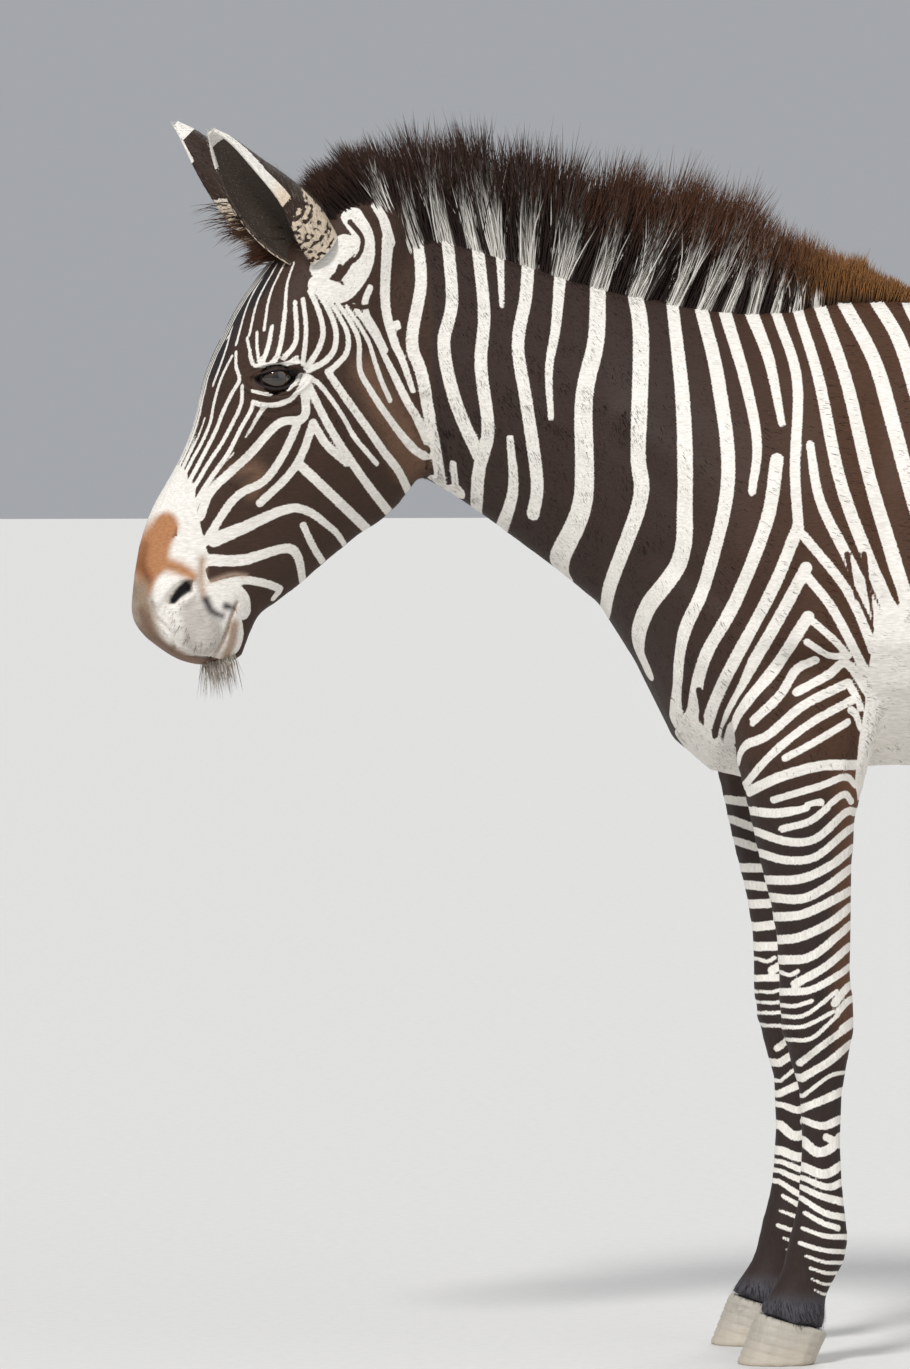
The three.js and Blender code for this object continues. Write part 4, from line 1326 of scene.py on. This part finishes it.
def strand_piece(name, centres, across, widths, taper, tones, material, chart, ridge_height=0.8):
    """Many tapered three-sided strands as one mesh.

    centres holds each strand's places from root to tip, and across the way its flat side runs.
    chart is the place of each root on the skin unrolled, where the strand has its small patch.
    """
    count, stops = centres.shape[:2]
    forwards = unit(np.gradient(centres, axis=1))
    across = unit(across)[:, None, :]
    ridge = unit(np.cross(forwards, np.broadcast_to(across, forwards.shape)))
    half = (widths[:, None] * np.asarray(taper)[None, :] / 2)[..., None]
    rows = np.stack([
        centres - across * half, centres + across * half, centres + ridge * half * ridge_height,
    ], axis=2)[:, :-1].reshape(count, -1, 3)
    per = (stops - 1) * 3 + 1
    spots = np.concatenate([rows, centres[:, -1:]], axis=1).reshape(-1, 3)
    faces = []
    for stop in range(stops - 2):
        for corner in range(3):
            here, there = stop * 3 + corner, stop * 3 + (corner + 1) % 3
            faces.append((here, there, there + 3))
            faces.append((here, there + 3, here + 3))
    last = (stops - 2) * 3
    for corner in range(3):
        faces.append((last + corner, last + (corner + 1) % 3, per - 1))
    faces = (np.array(faces)[None] + (np.arange(count) * per)[:, None, None]).reshape(-1, 3)
    piece = new_piece(name, spots, faces)
    body = np.repeat(tones[:, :-1], 3, axis=1)
    store(piece.data, "tone", np.concatenate([body, tones[:, -1:]], axis=1).reshape(-1, 3))
    corner_u = np.append(np.tile([-PATCH, PATCH, 0.0], stops - 1), 0.0)
    corner_v = np.append(np.repeat(np.linspace(-PATCH, PATCH, stops)[:-1], 3), PATCH)
    corners = np.column_stack([corner_u, corner_v])
    places = (0.005 + 0.99 * chart)[:, None, :] + corners[None]
    layer = piece.data.uv_layers.new(name="OFBake")
    layer.data.foreach_set("uv", places.reshape(-1, 2)[faces.ravel()].astype(np.float32).ravel())
    piece.data.materials.append(material)
    return piece


def ragged_strands(name, random, centres, ways, tones, shades, widths, taper, material, chart):
    """Strands that differ in shade and width, each turned its own way."""
    count = len(ways)
    tones = tones * random.uniform(*shades, count)[:, None, None]
    across = np.cross(ways, random.normal(size=(count, 3)))
    widths = random.uniform(*widths, count)
    return strand_piece(name, centres, across, widths, taper, tones, material, chart)


def hair_material(name, roughness, streaks):
    """Hair coloured by its own vertices, with fine streaks along it."""
    nodes = Nodes(name)
    tone = nodes.attribute("tone").outputs["Color"]
    fine = nodes.noise(1.0, streaks)
    shade = nodes.mix(nodes.between(fine, 0.3, 0.7), STRAND_SHADE, UNSHADED)
    colour = nodes.mix(1.0, tone, shade, "MULTIPLY")
    nodes.surface(colour, roughness, Specular_IOR_Level=HAIR_SHINE)
    nodes.bump(fine, 0.25, 0.0006)
    return nodes.material


# Each guide is a mane hair in the picture: (root x, root y), (tip x, tip y), and its white share.
MANE_GUIDES = (
    ((300, 200), (272, 180), 0.0),
    ((335, 196), (302, 162), 0.0),
    ((360, 196), (322, 152), 0.30),
    ((388, 202), (350, 140), 0.55),
    ((416, 222), (380, 122), 0.62),
    ((446, 231), (412, 110), 0.66),
    ((498, 248), (472, 112), 0.58),
    ((527, 255), (522, 116), 0.54),
    ((559, 265), (592, 134), 0.52),
    ((596, 275), (642, 142), 0.54),
    ((635, 288), (684, 150), 0.54),
    ((672, 298), (732, 162), 0.62),
    ((703, 306), (757, 180), 0.66),
    ((726, 309), (770, 198), 0.70),
    ((752, 312), (778, 212), 0.72),
    ((797, 309), (806, 230), 0.45),
    ((843, 301), (848, 246), 0.15),
    ((905, 296), (912, 279), 0.0),
)
# The mane's white locks: pixels along the crest, and half widths.
MANE_WHITES = (
    (388, 8), (415, 8), (446, 8.5), (476, 8), (499, 6), (527, 9), (560, 8), (597, 9), (635, 9),
    (672, 8), (702, 6.5), (727, 6), (752, 5.5), (774, 5), (797, 5), (817, 5),
)
MANE_SPAN = (-0.905, 0.055)
MANE_HALF_WIDTH = 0.017
CROWN = (-0.78, -0.68)
CROWN_SPREAD = 0.040
MANE_HAIRS = 8200
MANE_DARK = (44, 32, 28)
MANE_TIP = (126, 78, 46)
MANE_GOLD = (150, 104, 60)
MANE_TAPER = (1, 1, 0.85, 0.55, 0)
LOCK_PIXELS = 7.0
RUST_PIXELS = (330, 520, 640, 780, 840)
RUST_SHARES = (0.25, 0.2, 0.75, 0.9, 1.0)
FORELOCK_HAIRS = 1500
FORELOCK_ALONG = 0.050
FORELOCK_TIP = (112, 74, 48)
FORELOCK_TAPER = (1, 1, 0.8, 0.5, 0)
TAIL_HAIRS = 3600
TAIL_TAPER = (1, 1, 1, 0.9, 0.75, 0.5, 0)


def drop_onto(tree, straight, way):
    """The first place on the skin from each of these, and the numbers of those that meet it."""
    hits, kept = [], []
    for index, place in enumerate(straight):
        hit = tree.ray_cast(Vector(place), Vector(way))[0]
        if hit is not None:
            hits.append(hit)
            kept.append(index)
    return np.array(hits), np.array(kept)


def hair_path(roots, ways, lengths, sag, sag_way, stops):
    """Places along hairs that start one way and bend towards another as they go."""
    t = np.linspace(0, 1, stops)[None, :, None]
    straight_way = ways[:, None, :] * t
    drooped = sag[:, None, None] * sag_way[:, None, :] * t ** 2
    path = straight_way + drooped
    size = np.linalg.norm(path[:, -1], axis=1)[:, None, None]
    return roots[:, None, :] + path * (lengths[:, None, None] / size)


def root_to_tip(root, tip, share):
    """Colours along hairs from the root's to the tip's."""
    return linear(*root) + (linear(*tip) - linear(*root)) * share


def mane_roots(random, side, tree):
    """Roots along one side of the crest, spread wide over the crown.

    Also how far back and how far out of its band each lies, and where the picture shows it.
    """
    x = random.uniform(*MANE_SPAN, MANE_HAIRS)
    wide = MANE_HALF_WIDTH + CROWN_SPREAD * (1 - ramp(x, *CROWN))
    share = np.abs(random.normal(0, 0.5, MANE_HAIRS)).clip(0, 1)
    even = random.uniform(size=MANE_HAIRS)
    share = np.where(random.uniform(size=MANE_HAIRS) > ramp(x, *CROWN), even, share)
    above = np.column_stack([x, side * share * wide, np.full(MANE_HAIRS, 2.2)])
    hits, kept = drop_onto(tree, above, DOWN)
    roots = bend(hits) - np.array([0, 0, 0.004])
    seen = pixels_of(roots)[:, 0] + random.normal(0, 0.8, len(roots))
    return roots, x[kept], share[kept], seen


def mane_paths(random, side, roots, spread, seen):
    """Upright hairs with the lengths and leans of the guides, in uneven locks."""
    count = len(roots)
    base = np.array([guide[0] for guide in MANE_GUIDES], dtype=float)
    tip = np.array([guide[1] for guide in MANE_GUIDES], dtype=float)
    reach = (tip - base) * PIXEL
    right = np.interp(seen, base[:, 0], reach[:, 0])
    down = np.interp(seen, base[:, 0], reach[:, 1])
    clump = np.round(seen / LOCK_PIXELS) * LOCK_PIXELS
    lean = 0.05 * np.sin(clump * 1.7) + 0.07 * random.normal(size=count)
    ways = right[:, None] * RIGHT - down[:, None] * UP
    full = np.linalg.norm(ways, axis=1)
    ways = unit(ways) + lean[:, None] * RIGHT
    ways[:, 1] += side * spread * 0.12 + random.normal(0, 0.05, count)
    locks = 0.95 + 0.06 * np.sin(clump * 2.9) + 0.06 * np.sin(clump * 7.3)
    uneven = (1.05 - 0.35 * random.uniform(size=count) ** 1.6) * locks
    uneven = uneven * np.where(random.uniform(size=count) > 0.96, 1.12, 1.0)
    lengths = full * uneven * (1 - 0.25 * spread)
    sag_way = np.tile(np.array([0.9, 0.0, 0.1]), (count, 1))
    sag = random.normal(0.0, 0.12, count)
    return hair_path(roots, unit(ways), lengths, sag, sag_way, len(MANE_TAPER))


def mane_tones(random, seen):
    """Dark hair with rust tips, gold over the withers, and white locks above the neck's stripes."""
    count, stops = len(seen), len(MANE_TAPER)
    guides = [guide[0][0] for guide in MANE_GUIDES]
    share = np.interp(seen, guides, [guide[2] for guide in MANE_GUIDES])
    t = np.linspace(0, 1, stops)[None, :]
    whites = np.array(MANE_WHITES, dtype=float)
    nearest = np.min(np.abs(seen[:, None] - whites[None, :, 0]) - whites[None, :, 1], axis=1)
    white = ramp(-nearest + random.normal(0, 1.5, count), -1.5, 1.5)
    end = (share * random.uniform(0.75, 1.12, count))[:, None]
    whiteness = (white[:, None] * (1 - ramp(t, end - 0.08, end + 0.1))) * (share[:, None] > 0.02)
    rust = np.interp(seen, RUST_PIXELS, RUST_SHARES)[:, None]
    tint = ramp(t, 0.45, 1.0) * rust * random.uniform(0.5, 1.0, count)[:, None]
    gold = ramp(seen, 770, 850)[:, None] * ramp(t, 0.05, 0.5)
    tones = np.tile(linear(*MANE_DARK), (count, stops, 1))
    for colour, amount in ((MANE_TIP, tint), (MANE_GOLD, gold), (PALE_HAIR, whiteness)):
        tones = tones + (linear(*colour) - tones) * amount[..., None]
    return tones * random.uniform(0.82, 1.08, count)[:, None, None]


def build_mane(name, side, seed, straight_tree, material):
    """One side of the mane."""
    random = np.random.default_rng(seed)
    roots, x, spread, seen = mane_roots(random, side, straight_tree)
    centres = mane_paths(random, side, roots, spread, seen)
    tones = mane_tones(random, seen)
    across = np.tile(RIGHT, (len(roots), 1)) + random.normal(0, 0.3, (len(roots), 3))
    widths = random.uniform(0.0014, 0.0024, len(roots))
    chart = np.column_stack([(x - MANE_SPAN[0]) / (MANE_SPAN[1] - MANE_SPAN[0]), spread])
    return strand_piece(
        name, centres, across, widths, MANE_TAPER, tones, material, chart)


def build_forelock(straight_tree, material):
    """A brown tuft between the ears that falls forwards."""
    random = np.random.default_rng(SEEDS["forelock"])
    along = random.normal(FORELOCK_ALONG, 0.009, FORELOCK_HAIRS)
    side = random.normal(0, 0.015, FORELOCK_HAIRS)
    start = POLL + along[:, None] * ALONG + 0.4 * OUT + side[:, None] * SIDEWAYS
    hits, kept = drop_onto(straight_tree, start, -OUT)
    along, side = along[kept] - FORELOCK_ALONG, side[kept]
    count = len(hits)
    roots = bend(hits - 0.003 * OUT)
    ways = unit(
        OUT + ALONG * (0.10 + 8 * along)[:, None] + SIDEWAYS * (14 * side)[:, None]
        + random.normal(0, 0.13, (count, 3)))
    lengths = random.uniform(0.025, 0.060, count)
    droop = np.tile(np.array([-0.2, 0.0, -1.0]), (count, 1))
    sag = random.uniform(0.25, 0.6, count)
    centres = hair_path(roots, ways, lengths, sag, droop, len(FORELOCK_TAPER))
    t = np.linspace(0, 1, len(FORELOCK_TAPER))[None, :, None]
    tones = root_to_tip(MANE_DARK, FORELOCK_TIP, t ** 1.5)
    chart = np.column_stack([0.5 + side / 0.16, 0.5 + along / 0.12]).clip(0, 1)
    piece = ragged_strands(
        "forelock_hair", random, centres, ways, tones, (0.7, 1.15), (0.0012, 0.0022),
        FORELOCK_TAPER, material, chart)
    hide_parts("forelock")


def build_tail_tuft(material):
    """Long hair from the tail's lower end, dark inside with a pale outer layer."""
    random = np.random.default_rng(SEEDS["tail"])
    count, stops = TAIL_HAIRS, len(TAIL_TAPER)
    low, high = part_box("tail_tuft")
    share = random.uniform(0, 1, count) ** 1.3
    turn = random.uniform(0, 2 * math.pi, count)
    sine, cosine = np.sin(turn), np.cos(turn)
    ring = 0.012 * np.sqrt(random.uniform(0.2, 1, count))
    middle = (low.x + high.x) / 2 - 0.006
    roots = np.column_stack([middle + ring * cosine, ring * sine, high.z + 0.03 - 0.16 * share])
    spread = 0.10 + 0.05 * random.uniform(size=count)
    ways = np.column_stack([cosine * spread + 0.03, sine * spread * 0.8, -np.ones(count)])
    ways = unit(ways + random.normal(0, 0.02, (count, 3)))
    lengths = (roots[:, 2] - low.z) * random.uniform(0.55, 1.0, count)
    pull = np.column_stack([-cosine, -sine, np.zeros(count)])
    centres = hair_path(roots, ways, lengths, spread * 0.9, pull, stops)
    t = np.linspace(0, 1, stops)[None, :]
    pale = (random.uniform(size=count) < 0.35)[:, None] * (1 - ramp(t, 0.3, 0.6))
    dark = np.tile(linear(*MANE_DARK), (count, stops, 1))
    tones = dark + (linear(*PALE_HAIR) * 0.8 - dark) * pale[..., None]
    chart = np.column_stack([turn / (2 * math.pi), share])
    piece = ragged_strands(
        "tail_hair", random, centres, ways, tones, (0.7, 1.2), (0.0016, 0.0028),
        TAIL_TAPER, material, chart)
    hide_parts("tail_tuft")


# ---- the skin's colours ----
EAR_DARK = (60, 44, 35)
EAR_LINING = (84, 74, 66)
EAR_CREAM = (240, 222, 198)


def ear_markings(straight, ear):
    """The ears' gap and colours: a speckled base, a brown upper half and a white rim and tip."""
    share, turn, inside = ear.T
    rear = turn * np.where(straight[:, 1] > 0, -1, 1)
    brown = ramp(share + 0.10 * rear + 0.05 * wander(straight, 0.02, 63), 0.34, 0.50)
    speckle = wander(straight, 0.011, 61) + 0.7 * wander(straight, 0.006, 62)
    dark = blend(np.tile(linear(*EAR_DARK), (len(share), 1)), EAR_LINING, inside)
    pale = blend(np.tile(linear(*EAR_CREAM), (len(share), 1)), PALE_HAIR, ramp(share, 0.45, 0.6))
    back = np.where(brown > 0.5, 0.02, 0.004 * (speckle - 0.65 + 0.55 * rear))
    edge = 0.80 - 0.25 * ramp(share, 0.55, 0.95)
    rim = (rear > edge) & (share > 0.42) | (rear < -0.9) & (share > 0.78) | (share > 0.9)
    return np.where(rim, -0.01, np.where(inside > 0.5, 0.02, back)), dark, pale


def paint_skin(mesh, ear, markings):
    """Keeps the markings and the ears' colours at the skin's vertices, and returns them."""
    straight = straighten(positions(mesh))
    on_ear = ear[:, 0] + ear[:, 2] > 0
    ears = ear_markings(straight, ear)
    body = (markings.gap(straight), *markings.colours(straight))
    painted = [np.where(on_ear if part.ndim == 1 else on_ear[:, None], ear_part, part)
               for part, ear_part in zip(body, ears)]
    for name, values in zip(("stripe", "dark", "pale"), painted):
        store(mesh, name, values)
    store(mesh, "upright", ramp(straight[:, 2], 0.85, 0.7))
    return painted


# ---- the coat: short tufts that lie along the body ----
HEAD_TUFTS = 46000
EAR_TUFTS = 9000
NECK_TUFTS = 40000
TRUNK_TUFTS = 64000
LEG_TUFTS = 44000
# A tuft's length and width on each part.
HEAD_TUFT = (0.0075, 0.0010)
NECK_TUFT = (0.0115, 0.0014)
TRUNK_TUFT = (0.0125, 0.0017)
LEG_TUFT = (0.0095, 0.0012)
EAR_TUFT = (0.0085, 0.0010)
FLAT_LIFT = 0.03
FLAT_RIDGE = 0.25
ASTRIDE = 0.12
EAR_GREY = (170, 160, 150)
LEG_CENTRES = ((-0.24, 0.66), (0.13, -0.13))
NECK_FOOT = np.array([-0.35, 0.0, 1.1])
TRUNK_MIDDLE = np.array([0.0, 0.0, 1.1])


def hair_ways(straight):
    """Which way the hair lies: back along the body, down the neck and legs, and down the face."""
    x, z = straight[:, 0], straight[:, 2]
    ways = np.tile([1.0, 0.0, -0.22], (len(straight), 1))
    neck = ramp(x, -0.15, -0.42)[:, None]
    ways = ways * (1 - neck) + np.array([0.45, 0.0, -0.9]) * neck
    leg = ramp(z, 0.95, 0.78)[:, None]
    ways = ways * (1 - leg) + np.array([0.12, 0.0, -1.0]) * leg
    head = in_head(straight)[:, None]
    ways = np.where(head, ALONG + 0.25 * OUT, ways)
    tail = ((x > 1.0) & (np.abs(straight[:, 1]) < 0.035))[:, None]
    return np.where(tail, np.array([0.1, 0.0, -1.0]), ways)


class Roots:
    """Places picked at random over the skin, with its facing and colours there."""

    def __init__(self, mesh, gap, dark, pale, ear):
        mesh.calc_loop_triangles()
        self.corners = read(mesh.loop_triangles, "vertices", 3, np.int64)
        self.points = positions(mesh)
        self.facing = normals(mesh)
        self.straight = straighten(self.points)
        share = ramp(gap, -0.0006, 0.0006)[:, None]
        self.colour = pale + (dark - pale) * share
        self.ear = ear
        self.near = KDTree(len(self.points))
        for index, point in enumerate(self.points):
            self.near.insert(point, index)
        self.near.balance()
        a, b, c = (self.points[self.corners[:, column]] for column in range(3))
        self.areas = np.linalg.norm(np.cross(b - a, c - a), axis=1) / 2
        self.middles = self.straight[self.corners].mean(axis=1)
        self.on_ear = ear[self.corners].any(axis=(1, 2))

    def pick(self, count, chance, seed):
        """Count places, each triangle drawn by its area times its chance."""
        random = np.random.default_rng(seed)
        weights = self.areas * chance
        chosen = random.choice(len(weights), count, p=weights / weights.sum())
        split = np.sqrt(random.uniform(size=count))
        other = random.uniform(size=count)
        shares = np.column_stack([1 - split, split * (1 - other), split * other])[..., None]
        corners = self.corners[chosen]

        def blended(values):
            return (values[corners] * shares).sum(axis=1)

        return {
            "points": blended(self.points), "facing": unit(blended(self.facing)),
            "straight": blended(self.straight), "ear": blended(self.ear), "random": random,
        }

    def colours_at(self, points):
        """The coat's colour at the nearest place on the skin to each of these."""
        return self.colour[[self.near.find(point)[1] for point in points]]


def flat_tufts(name, skin, roots, lengths, widths, lift, material, chart, ways=None, grey=0.0):
    """Thin tufts that rise a little and lie back along the skin, in its colour with a share of grey.

    A tuft whose tip would lie over another marking is shortened.
    """
    random, facing = roots["random"], roots["facing"]
    count = len(facing)
    if ways is None:
        ways = hair_ways(roots["straight"])
    ways = ways + random.normal(0, 0.14, (count, 3))
    ways = unit(ways - facing * np.sum(ways * facing, axis=1, keepdims=True))
    lengths = lengths * random.uniform(0.7, 1.25, count)
    widths = widths * random.uniform(0.75, 1.25, count)
    lift = lift * random.uniform(0.5, 1.5, count)
    tips = ways * lengths[:, None] + facing * (lengths * lift)[:, None]
    start = roots["points"] - facing * 0.0003
    centres = np.stack([start, start + tips], axis=1)
    shade = random.normal(1.0, 0.05, count).clip(0.8, 1.2)[:, None, None]
    grey = np.broadcast_to(grey, count)[:, None, None]
    under = skin.colours_at(start + ways * lengths[:, None] * 0.25)
    beyond = skin.colours_at(start + ways * lengths[:, None] * 0.8)
    astride = np.linalg.norm(under - beyond, axis=1) > ASTRIDE
    centres[:, 1] = np.where(astride[:, None], start + tips * 0.25, centres[:, 1])
    beyond = np.where(astride[:, None], under, beyond)
    tones = np.stack([under, beyond], axis=1) * (1 - grey) + linear(*EAR_GREY) * grey
    tones = np.clip(tones * shade, 0, 0.97)
    across = np.cross(ways, facing)
    return strand_piece(
        name, centres, across, widths, (1, 0), tones, material, chart, FLAT_RIDGE)


def build_head_coat(skin, head, material):
    """Fine short hair, thickest and smallest on the muzzle, and none over the eyes."""
    eyes = np.zeros(len(head), dtype=bool)
    for side in EYE_SIDES:
        middle, radius = eye_place(side)
        eyes |= np.linalg.norm(skin.middles - middle, axis=1) < radius * 1.45
    thicker = 1 + 0.8 * ramp(head_place(skin.middles)[0], 0.1, 0.4)
    roots = skin.pick(HEAD_TUFTS, (head & ~eyes) * thicker, SEEDS["head"])
    size = 1 - 0.35 * ramp(head_place(roots["straight"])[0], 0.2, 0.5)
    chart = unrolled(roots["straight"], POLL, ALONG, OUT)
    length, width = HEAD_TUFT
    flat_tufts("coat_head", skin, roots, length * size, width * size, 0.05, material, chart)


def build_neck_coat(skin, neck, material):
    """Short flat hair, charted round the neck's own axis."""
    roots = skin.pick(NECK_TUFTS, neck, SEEDS["neck"])
    axis = unit(POLL - NECK_FOOT)
    chart = unrolled(roots["straight"], POLL, axis, np.cross(SIDEWAYS, axis))
    flat_tufts("coat_neck", skin, roots, *NECK_TUFT, FLAT_LIFT, material, chart)


def build_trunk_coat(skin, name, part, seed, material):
    """Short flat hair on one side of the body."""
    roots = skin.pick(TRUNK_TUFTS // 2, part, seed)
    chart = unrolled(roots["straight"], TRUNK_MIDDLE, FORE_AND_AFT, DOWN)
    flat_tufts(name, skin, roots, *TRUNK_TUFT, FLAT_LIFT, material, chart)


def build_leg_coat(skin, leg, material):
    """Short hair on the legs, smaller lower down, with a longer fringe over each hoof's top."""
    chance = leg * (1 + ramp(skin.middles[:, 2], 0.5, 0.2))
    roots = skin.pick(LEG_TUFTS, chance, SEEDS["legs"])
    straight = roots["straight"]
    size = 1 - 0.35 * ramp(straight[:, 2], 0.6, 0.2)
    chart = np.zeros((LEG_TUFTS, 2))
    for column, middle in enumerate(LEG_CENTRES[0]):
        for row, side in enumerate(LEG_CENTRES[1]):
            here = ((straight[:, 0] > 0.3) == (column == 1)) & ((straight[:, 1] < 0) == (row == 1))
            wrapped = unrolled(straight[here], np.array([middle, side, 0.0]), DOWN, FORE_AND_AFT)
            chart[here] = (wrapped * 0.98 + 0.01 + np.array([column, row])) / 2
    foot = ramp(straight[:, 2], 0.10, 0.075)
    lengths = LEG_TUFT[0] * size * (1 + 1.6 * foot)
    lift = 0.035 + 0.2 * foot
    flat_tufts("coat_legs", skin, roots, lengths, LEG_TUFT[1] * size, lift, material, chart)


def build_ear_coat(skin, material):
    """Longer soft hair on the ears, longest inside them towards their base."""
    roots = skin.pick(EAR_TUFTS, skin.on_ear, SEEDS["ears"])
    share, turn, inside = roots["ear"].T
    inner = np.round(inside)
    lengths = EAR_TUFT[0] + 0.011 * inner * ramp(share, 0.9, 0.3)
    ways = np.tile(-ALONG * 0.4 + OUT, (EAR_TUFTS, 1))
    side = np.sign(roots["points"][:, 1])
    chart = np.column_stack([
        0.25 + 0.12 * turn + 0.25 * inner + 0.25 * (side > 0), share.clip(0, 1),
    ]).clip(0, 1)
    lift = 0.10 + 0.35 * inner
    grey = inner * roots["random"].uniform(0, 0.6, EAR_TUFTS)
    flat_tufts("coat_ears", skin, roots, lengths, EAR_TUFT[1], lift, material, chart, ways, grey)


def build_coat(skin, material):
    """The coat's pieces: the head, the neck, each side of the trunk, the legs and the ears.
    The coat's pieces, each under the limit on triangles.
    """
    x, y, z = skin.middles.T
    head = in_head(skin.middles) & ~skin.on_ear
    neck = ~head & ~skin.on_ear & (x < -0.42)
    leg = ~head & ~skin.on_ear & ~neck & (z < 0.80)
    trunk = ~head & ~skin.on_ear & ~neck & ~leg
    build_head_coat(skin, head, material)
    build_neck_coat(skin, neck, material)
    build_trunk_coat(skin, "coat_trunk_left", trunk & (y < 0), SEEDS["left trunk"], material)
    build_trunk_coat(skin, "coat_trunk_right", trunk & (y >= 0), SEEDS["right trunk"], material)
    build_leg_coat(skin, leg, material)
    build_ear_coat(skin, material)


# ---- fringes: longer hair along lines on the skin ----
# Each: name, hairs, half width, lengths, way (right, down), root's and tip's colour, line in pixels.
FRINGES = (
    (
        "beard", 130, 2, (0.018, 0.058), (0.10, 1.0), (214, 204, 190), (172, 160, 146),
        ((209, 662), (218, 661), (228, 657), (234, 653)),
    ),
    (
        "whiskers", 44, 9, (0.006, 0.018), (-0.45, 0.75), (176, 166, 154), (120, 110, 102),
        ((172, 606), (184, 632), (205, 642), (226, 634)),
    ),
    (
        "lashes", 120, 0.8, (0.008, 0.014), (-0.25, 0.9), (30, 26, 26), (24, 20, 20),
        ((252, 372), (262, 370), (280, 369), (298, 370)),
    ),
)
MIRROR = np.array([1.0, -1.0, 1.0])
SUNK = 0.0015
FRINGE_TAPER = (1, 0.9, 0.6, 0)


def build_fringe(name, hairs, half_width, lengths, way, root, tip, line, tree, seed, material):
    """Hairs from a band along a line in the picture, on this side and mirrored on the other."""
    random = np.random.default_rng(seed)
    curve = smooth_line(line, 1.0)
    chosen = curve[random.integers(0, len(curve), hairs)] + random.normal(0, half_width / 2, (hairs, 2))
    met = [seen_skin(tree, pixel) for pixel in chosen]
    met = [(hit, facing) for hit, facing in met if hit is not None and hit.y < 0]
    places = straighten(np.array([hit for hit, _ in met]))
    facings = np.array([facing for _, facing in met])
    count = 2 * len(met)
    ways = way[0] * RIGHT - way[1] * UP + 0.35 * facings + random.normal(0, 0.12, (len(met), 3))
    sunk = places - facings * SUNK
    roots = np.vstack([bend(sunk), bend(sunk * MIRROR)])
    ways = unit(np.vstack([ways, ways * MIRROR]))
    sizes = random.uniform(*lengths, count)
    droop = np.tile(DOWN, (count, 1))
    sag = random.uniform(0.0, 0.3, count)
    centres = hair_path(roots, ways, sizes, sag, droop, len(FRINGE_TAPER))
    tones = root_to_tip(root, tip, np.linspace(0, 1, len(FRINGE_TAPER))[None, :, None])
    chart = (roots - roots.min(0))[:, [0, 2]] / (roots.max(0) - roots.min(0)).max()
    return ragged_strands(
        name, random, centres, ways, tones, (0.75, 1.2), (0.0006, 0.0011),
        FRINGE_TAPER, material, chart)


def build_animal():
    """Every piece of the animal, from the skin outwards."""
    skin, ear = build_skin()
    mesh = skin.data
    sculpt(mesh, int(np.sum(~ear.any(axis=1))))
    bent = positions(mesh)
    bent_tree = make_tree(bent, mesh)
    markings = Markings(bent_tree)
    straight = straighten(bent)
    straight_tree = make_tree(straight, mesh)
    coat = coat_material()
    eye = eye_material()
    for side in EYE_SIDES:
        lids = build_lids(side, straight_tree, markings)
        lids.data.materials.append(coat)
        build_eye(side, eye)
        straight = open_socket(straight, side)
    set_positions(mesh, bend(straight))
    gap, dark, pale = paint_skin(mesh, ear, markings)
    mesh.materials.append(coat)
    short = hair_material("coat_tufts", 0.6, (240, 240, 240))
    build_coat(Roots(mesh, gap, dark, pale, ear), short)
    horn = hoof_material()
    for node in HOOVES:
        build_hoof(node, horn)
    mane = hair_material("mane_strands", 0.5, (300, 300, 60))
    left_mane = build_mane("mane_left", -1, SEEDS["left mane"], straight_tree, mane)
    build_mane("mane_right", 1, SEEDS["right mane"], straight_tree, mane)
    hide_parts("mane")
    build_forelock(straight_tree, mane)
    build_tail_tuft(mane)
    for index, fringe in enumerate(FRINGES):
        build_fringe(*fringe, bent_tree, SEEDS["first fringe"] + index, mane)


def main():
    build_animal()
    build_floor()
    build_light()
    build_camera()


main()
